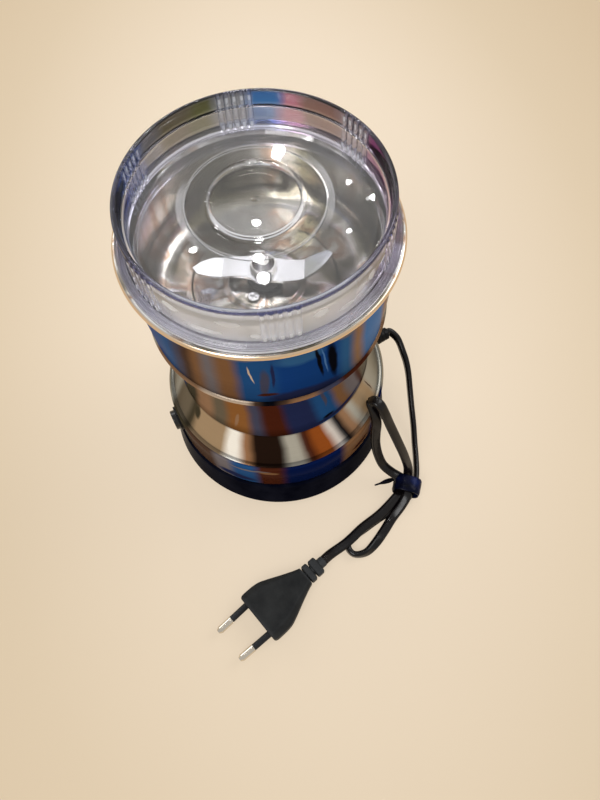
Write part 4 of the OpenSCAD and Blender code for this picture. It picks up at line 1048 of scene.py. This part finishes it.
def wall_haze_and_sheen(s):
    """Haze on the ribs, and painted sheen on the front of the wall with its painted gleams and on the front
    of the rim's top.
    """
    span = 360 / RIB_GROUPS
    off = s.math("WRAP", s.less(s.degrees, RIB_PHASE), span / 2, -span / 2)
    in_group = s.below(s.math("ABSOLUTE", off), RIBS * RIB_PITCH / 2)
    off_ridge = s.math("ABSOLUTE", s.math("WRAP", off, RIB_PITCH / 2, -RIB_PITCH / 2))
    ribs = s.greys(s.math("DIVIDE", off_ridge, RIB_PITCH / 2), [(0.25, 0.75), (0.6, 0.2)])
    rib_ends = s.greys(s.level, [
        (0.1, 0.3), (0.15, 1), (0.24, 1), (0.29, 0.25), (0.7, 0.35), (0.84, 0.8), (0.9, 0.8)])
    wall_part = s.greys(s.level, [(0.1, 0.3), (0.16, 1), (0.9, 1), (0.93, 0)])
    front = s.around(s.azimuth, FRONT_PAINTED_SHEEN)
    on_outer_wall = s.times(s.outside, wall_part)
    haze_and_sheen = s.times(s.on_wall, s.times(s.times(s.times(in_group, ribs), rib_ends), wall_part))
    haze_and_sheen = s.most(haze_and_sheen, s.times(on_outer_wall, front))
    for az, at, half_az, half, gain in FRONT_GLEAMS:
        far = s.oval(s.off_middle(s.loose, az, half_az), s.off_middle(s.level, at, half))
        haze_and_sheen = s.most(haze_and_sheen, s.times(on_outer_wall, s.greys(far, [(0.2, gain), (1.0, 0)])))
    rim_top = s.times(front, s.greys(s.level, [(0.985, 0.0), (1.0, 1.4)]))
    return s.most(haze_and_sheen, s.times(s.on_wall, rim_top))


def flange_lines_and_sheen(s):
    """Turned lines on the flange, painted pale as a sheen that is strongest on its front."""
    at = s.add("CombineXYZ", {"X": s.times(s.radius, 2600)}).outputs[0]
    lines = s.greys(s.noise(1, 2, at=at), [(0.42, 0.02), (0.6, 0.65)])
    return s.times(s.beyond(LID_R + 0.75), s.times(lines, s.around(s.azimuth, FLANGE_PAINTED_SHEEN)))


def face_rings_and_sheen(s, haze_and_sheen):
    """The haze and painted sheen, with the turned rings of the face added, some of them painted stronger on
    one side as painted reflections.
    """
    for ring_r, half, strength in FACE_RINGS:
        near = s.below(s.math("ABSOLUTE", s.less(s.radius, ring_r * MM)), half * MM)
        haze_and_sheen = s.most(haze_and_sheen, s.times(near, s.around(s.azimuth, strength)))
    return haze_and_sheen


def clear_plastic():
    """Clear cap: painted reflections of the room in the back of its wall, hazy ribs, a painted sheen on its
    front and painted dark blue reflections on its edges.
    """
    s = CapShader("clear_plastic_cap")
    haze_and_sheen = face_rings_and_sheen(s, s.most(wall_haze_and_sheen(s), flange_lines_and_sheen(s)))
    rough_map = s.line(haze_and_sheen, 0.5, s.greys(s.noise(900, 2), [(0.55, 0.015), (0.75, 0.05)]))
    # The front half of the gate gets a pale painted sheen, but it doesn't make the gate rougher
    gate_front = s.greys(s.across_gate, [(0.1, 0.1), (0.4, 0.09), (0.6, 0.0)])
    haze_and_sheen = s.most(haze_and_sheen, s.times(s.within(GATE_R - 0.8), gate_front))
    surface = s.principled(Base_Color=s.mix(haze_and_sheen, cap_colour(s), PALE_HAZE_AND_SHEEN), Roughness=rough_map, IOR=1.49,
                           Transmission_Weight=s.less(1.0, haze_and_sheen), Normal=s.bump(s.noise(34, 2), 0.25, 0.35))
    # Light passes straight through to what is under the cap
    passing = s.add("BsdfTransparent", {"Color": (0.9, 0.9, 0.92, 1)})
    light = s.add("LightPath")
    return s.close(s.add("MixShader", {
        0: light.outputs["Is Shadow Ray"], 1: surface.outputs[0], 2: passing.outputs[0]}))


def mottled(name, mottle, tones, rough, gloss, grain, depth, strength):
    """Black plastic. mottle and grain: scale and detail of the noise for its colour and its relief."""
    s = Shader(name)
    return s.coat(Base_Color=s.tones(s.noise(*mottle), tones), Roughness=rough, Specular_IOR_Level=gloss,
                  Normal=s.bump(s.noise(*grain), depth, strength))


def plug_plastic():
    """Matte black plug with a moulded grain on its faces, lighter on its sharp edges."""
    s = Shader("plug_grain")
    sharp_edge_lightening = s.greys(s.add("NewGeometry").outputs["Pointiness"], [(0.5, 0.0), (0.58, 1.0)])
    base = s.tones(s.noise(120, 4), [(0.3, 22, 23, 24), (0.7, 38, 39, 39)])
    return s.coat(
        Base_Color=s.mix(sharp_edge_lightening, base, srgb(58, 60, 62)), Roughness=0.55, Specular_IOR_Level=0.1,
        Normal=s.bump(s.noise(1500, 2, 0.6), 0.08, 0.8))


# Painted shade by height: darker at the cup's foot and a little at its rim, in the groove above the base, in
# the crease at the shoulder, at the neck's foot, at the neck's top under the bead, and at the bead's edges
CUP_SHADES = [
    (CUP_Z, 0.3), (CUP_Z + 1.5, 0.5), (CUP_Z + 5, 0.8), (CUP_Z + 20, 1), (RIM_Z - 6, 1), (RIM_Z, 0.8)]
BODY_SHADES = [
    (BAND_Z, 0.2), (BAND_Z + 0.6, 0.9), (BAND_Z + 1.4, 1), (SHOULDER_Z - 1.2, 1), (SHOULDER_Z - 0.3, 0.45),
    (SHOULDER_Z + 0.2, 0.45), (SHOULDER_Z + 0.7, 1), (NECK_Z - 1, 1), (NECK_Z + 0.2, 0.5),
    (NECK_Z + 2.5, 0.7), (NECK_Z + 8, 1), (BEAD_Z - 5, 1), (BEAD_Z, 0.35),
]
BEAD_SHADES = [(BEAD_Z, 0.7), (BEAD_Z + 1, 1), (CUP_Z, 0.6)]
cup_steel = painted_steel(
    "cup_steel_mirror", [(CUP_AREAS, -92, 0.0042, 141, RIM_Z)], CUP_BLOTS, CUP_SHADES, 0.13)
body_steel = painted_steel(
    "body_steel_brushed",
    [(BAND_AREAS, -92, 0, 38, SHOULDER_Z - 0.5), (SHOULDER_AREAS, -115, 0.0045, 61, NECK_Z),
     (NECK_AREAS, -105, 0.006, 93, BEAD_Z)],
    BODY_BLOTS, BODY_SHADES, 0.17, (SHOULDER_Z, NECK_Z), line_depth=0.012, edge=0.4)
# The bead's warm and dark areas are painted reflections
bead_steel = painted_steel(
    "bead_steel_copper", [(BEAD_AREAS, -92, 0, 118, CUP_Z)], [], BEAD_SHADES, 0.12)

dress(bowl, "body", bowl_steel(), "bowl_steel", "grinding_bowl")
dress(cup_band, "body", cup_steel, "cup_steel", "upper_shell")
dress(bead, "body", bead_steel, "bead_steel", "bead_ring")
dress(body, "body", body_steel, "body_steel", "lower_shell")
dress(lid, "lid", clear_plastic(), "clear_plastic", "lid")
button_material = moulded("button_gloss", (8, 8, 9), 0.14, depth=0.004)
dress(button, "button", button_material, "button_plastic", "switch_button")
# Glossy sheath with a faint brown cast and lengthwise drag marks
cord_material = mottled("cord_sheath", (40, 3), [(0.35, 6, 5, 8), (0.6, 14, 10, 10), (0.75, 28, 20, 17)],
                        0.22, 0.3, (160, 3), 0.12, 0.6)
dress(cord, "body", cord_material, "cord_plastic", "cord")
# Dark blue-black wrap with shiny creases
tie_material = mottled("tie_wrap", (90, 2), [(0.38, 4, 5, 12), (0.56, 8, 12, 36), (0.72, 16, 30, 78)],
                       0.24, 0.08, (220, 3), 0.3, 0.7)
dress(tie, "body", tie_material, "tie_plastic", "cord_tie")
dress(tie_tail, "body", tie_material, "tie_plastic", "cord_tie")
plug_material = plug_plastic()
for part in [plug_head] + plug_guards:
    dress(part, "body", plug_material, "plug_plastic", "plug_body")

# ---- finishes of the CAD nodes ----

COPPER = (196, 112, 62)
# Kind, colour, roughness, and where they differ from the usual ones: grain, its depth, mottling and gloss
NODE_FINISHES = {
    "base_cover": (moulded, (4, 6, 20), 0.2, 500, 0.006, 0.25, 0.001),
    "feet": (moulded, (34, 34, 36), 0.75),
    "base_screws": (steel, (176, 176, 178), 0.32),
    "bowl_deck": (moulded, (40, 40, 42), 0.5),
    "bowl_screws": (steel, (200, 200, 200), 0.2),
    "shaft_seal": (moulded, (22, 22, 23), 0.6),
    "blade": (steel, (206, 206, 208), 0.17, 120, 0.02),
    "blade_spacer": (moulded, (24, 24, 25), 0.45),
    "blade_nut": (steel, (204, 202, 198), 0.16),
    "motor_shaft": (steel, (180, 180, 182), 0.25),
    "retaining_rings": (steel, (110, 110, 112), 0.35),
    "rotor_core": (steel, (120, 120, 124), 0.4, 700, 0.05),
    "rotor_winding": (steel, COPPER, 0.35, 900, 0.08),
    "commutator": (steel, (206, 130, 82), 0.28),
    "cooling_fan": (moulded, (214, 212, 204), 0.4, 900, 0.03, 0.06),
    "upper_bearing": (steel, (188, 188, 192), 0.22),
    "lower_bush": (steel, (176, 144, 92), 0.45, 1200, 0.06),
    "stator_core": (steel, (116, 116, 120), 0.42, 700, 0.05),
    "field_coils": (steel, COPPER, 0.35, 900, 0.08),
    "upper_bracket": (steel, (168, 168, 170), 0.5, 500, 0.08),
    "lower_bracket": (steel, (168, 168, 170), 0.5, 500, 0.08),
    "brush_holders": (steel, (206, 168, 92), 0.3),
    "carbon_brushes": (moulded, (44, 44, 46), 0.6),
    "brush_springs": (steel, (176, 176, 178), 0.25),
    "motor_bolts": (steel, (168, 168, 172), 0.3),
    "motor_mounts": (moulded, (28, 28, 29), 0.8),
    "button_spring": (steel, (180, 180, 182), 0.25),
    "switch_housing": (moulded, (12, 12, 13), 0.24, 900, 0.006, 0.25, 0.15),
    "switch_nut": (steel, (170, 170, 172), 0.3),
    "switch_contacts": (steel, (206, 170, 98), 0.28),
    "live_lead": (moulded, (112, 66, 34), 0.4),
    "neutral_lead": (moulded, (40, 70, 150), 0.4),
    "motor_lead": (moulded, (30, 30, 32), 0.4),
    "strain_relief": (moulded, (12, 11, 12), 0.35, 900, 0.03, 0.25, 0.15),
    "plug_pins": (steel, (226, 218, 204), 0.14, 300, 0.006),
    "pin_sleeves": (moulded, (26, 28, 32), 0.4, 900, 0.03, 0.25, 0.25),
}
for node_name, (make, *look) in NODE_FINISHES.items():
    finish = make(f"{node_name}_finish", *look)
    for node_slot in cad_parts[node_name].material_slots:
        node_slot.material = finish

# ---- floor, world and lamps ----

CREAM = srgb(233, 217, 193)
FLOOR_HALF = 4000
TABLE_Z = -0.1
# Painted pool of light on the table: its palest place, its reach either way, and how many reaches the colours
# span
PALE_AT = (20, 120)
PALE_REACH = (210, 400)
COLOUR_SPAN = 10
# Share of the table's colour near the object that no shadow dims
PLAIN_SHARE = 0.7
WARM_WHITE = (1.0, 0.97, 0.93, 1)
ROOM_GLOW = 0.6


def build_floor():
    """Cream table top with a painted pool of light, a little darker away from the object."""
    corners = [(x * FLOOR_HALF, y * FLOOR_HALF, TABLE_Z) for x, y in ((-1, -1), (1, -1), (1, 1), (-1, 1))]
    floor = new_object("floor", corners, [[0, 1, 2, 3]])
    s = Shader("floor_cream")
    x, y, _ = s.xyz()
    u, v = (s.off_middle(value, middle * MM, reach * MM)
            for value, middle, reach in zip((x, y), PALE_AT, PALE_REACH))
    far = s.times(s.math("SQRT", s.oval(v, u)), 1 / COLOUR_SPAN)
    colour = s.tones(far, [
        (0.0, 240, 224, 201), (0.05, 236, 219, 196), (0.1, 219, 200, 172), (0.14, 211, 190, 160),
        (0.25, 218, 200, 172), (0.6, 233, 217, 193)])
    matte = s.add("BsdfDiffuse", {"Color": colour})
    plain = s.add("Emission", {"Color": colour, "Strength": 1.0})
    rays = s.add("LightPath").outputs
    seen = s.most(s.most(rays["Is Camera Ray"], rays["Is Glossy Ray"]), rays["Is Transmission Ray"])
    share = s.times(seen, s.greys(far, [(0.2, PLAIN_SHARE), (0.6, 1.0)]))
    both = s.add("MixShader", {0: share, 1: matte.outputs[0], 2: plain.outputs[0]})
    floor.data.materials.append(s.close(both))


def build_world():
    """Even warm light from all round, with the table's cream where the camera looks past the table."""
    bpy.context.scene.world = bpy.data.worlds.new("studio")
    s = Nodes(bpy.context.scene.world, "OutputWorld")
    light = s.add("Background", {"Color": WARM_WHITE, "Strength": ROOM_GLOW})
    seen = s.add("Background", {"Color": CREAM})
    rays = s.add("LightPath").outputs
    s.close(s.add("MixShader", {0: rays["Is Camera Ray"], 1: light.outputs[0], 2: seen.outputs[0]}))


LAMP_TARGET = Vector((0, 0, 90))


def lamp(name, at, size, power):
    """Round lamp that shines on the object."""
    data = bpy.data.lights.new(name, "AREA")
    data.shape = "DISK"
    data.size = size * MM
    data.energy = power
    light = bpy.data.objects.new(name, data)
    light.location = Vector(at) * MM
    light.rotation_euler = ((LAMP_TARGET - Vector(at)) * MM).to_track_quat("-Z", "Y").to_euler()
    bpy.context.collection.objects.link(light)


# Large soft lamps: name, place, size and power
SOFT_LAMPS = [
    ("soft_key", (-700, -900, 1500), 900, 13), ("soft_fill", (1100, 300, 1300), 900, 7),
    ("soft_back", (0, 760, 1250), 950, 1.5), ("wing_left_light", (726, 630, 1002), 380, 0.6),
    ("wing_right_light", (-670, 879, 803), 620, 2),
]
# Small lamps that glint on the cap, the button, the cord and the rims: place and size
GLINTS = [
    ((-96, 96, 1236), 46), ((99, 1015, 1015), 46), ((395, 824, 1116), 22), ((322, 884, 1091), 20),
    ((310, 724, 1210), 20), ((-7, 788, 1206), 34), ((-12, 667, 1281), 36), ((-3, 594, 1318), 48),
    ((-236, 716, 1231), 26),
]
GLINT_GLOW = 60

build_floor()
build_world()
for settings in SOFT_LAMPS:
    lamp(*settings)
for glint_count, (at, size) in enumerate(GLINTS):
    lamp(f"glint_{glint_count}", at, size, GLINT_GLOW * (pi * size * MM / 2) ** 2)

bpy.context.scene.view_settings.view_transform = "Standard"
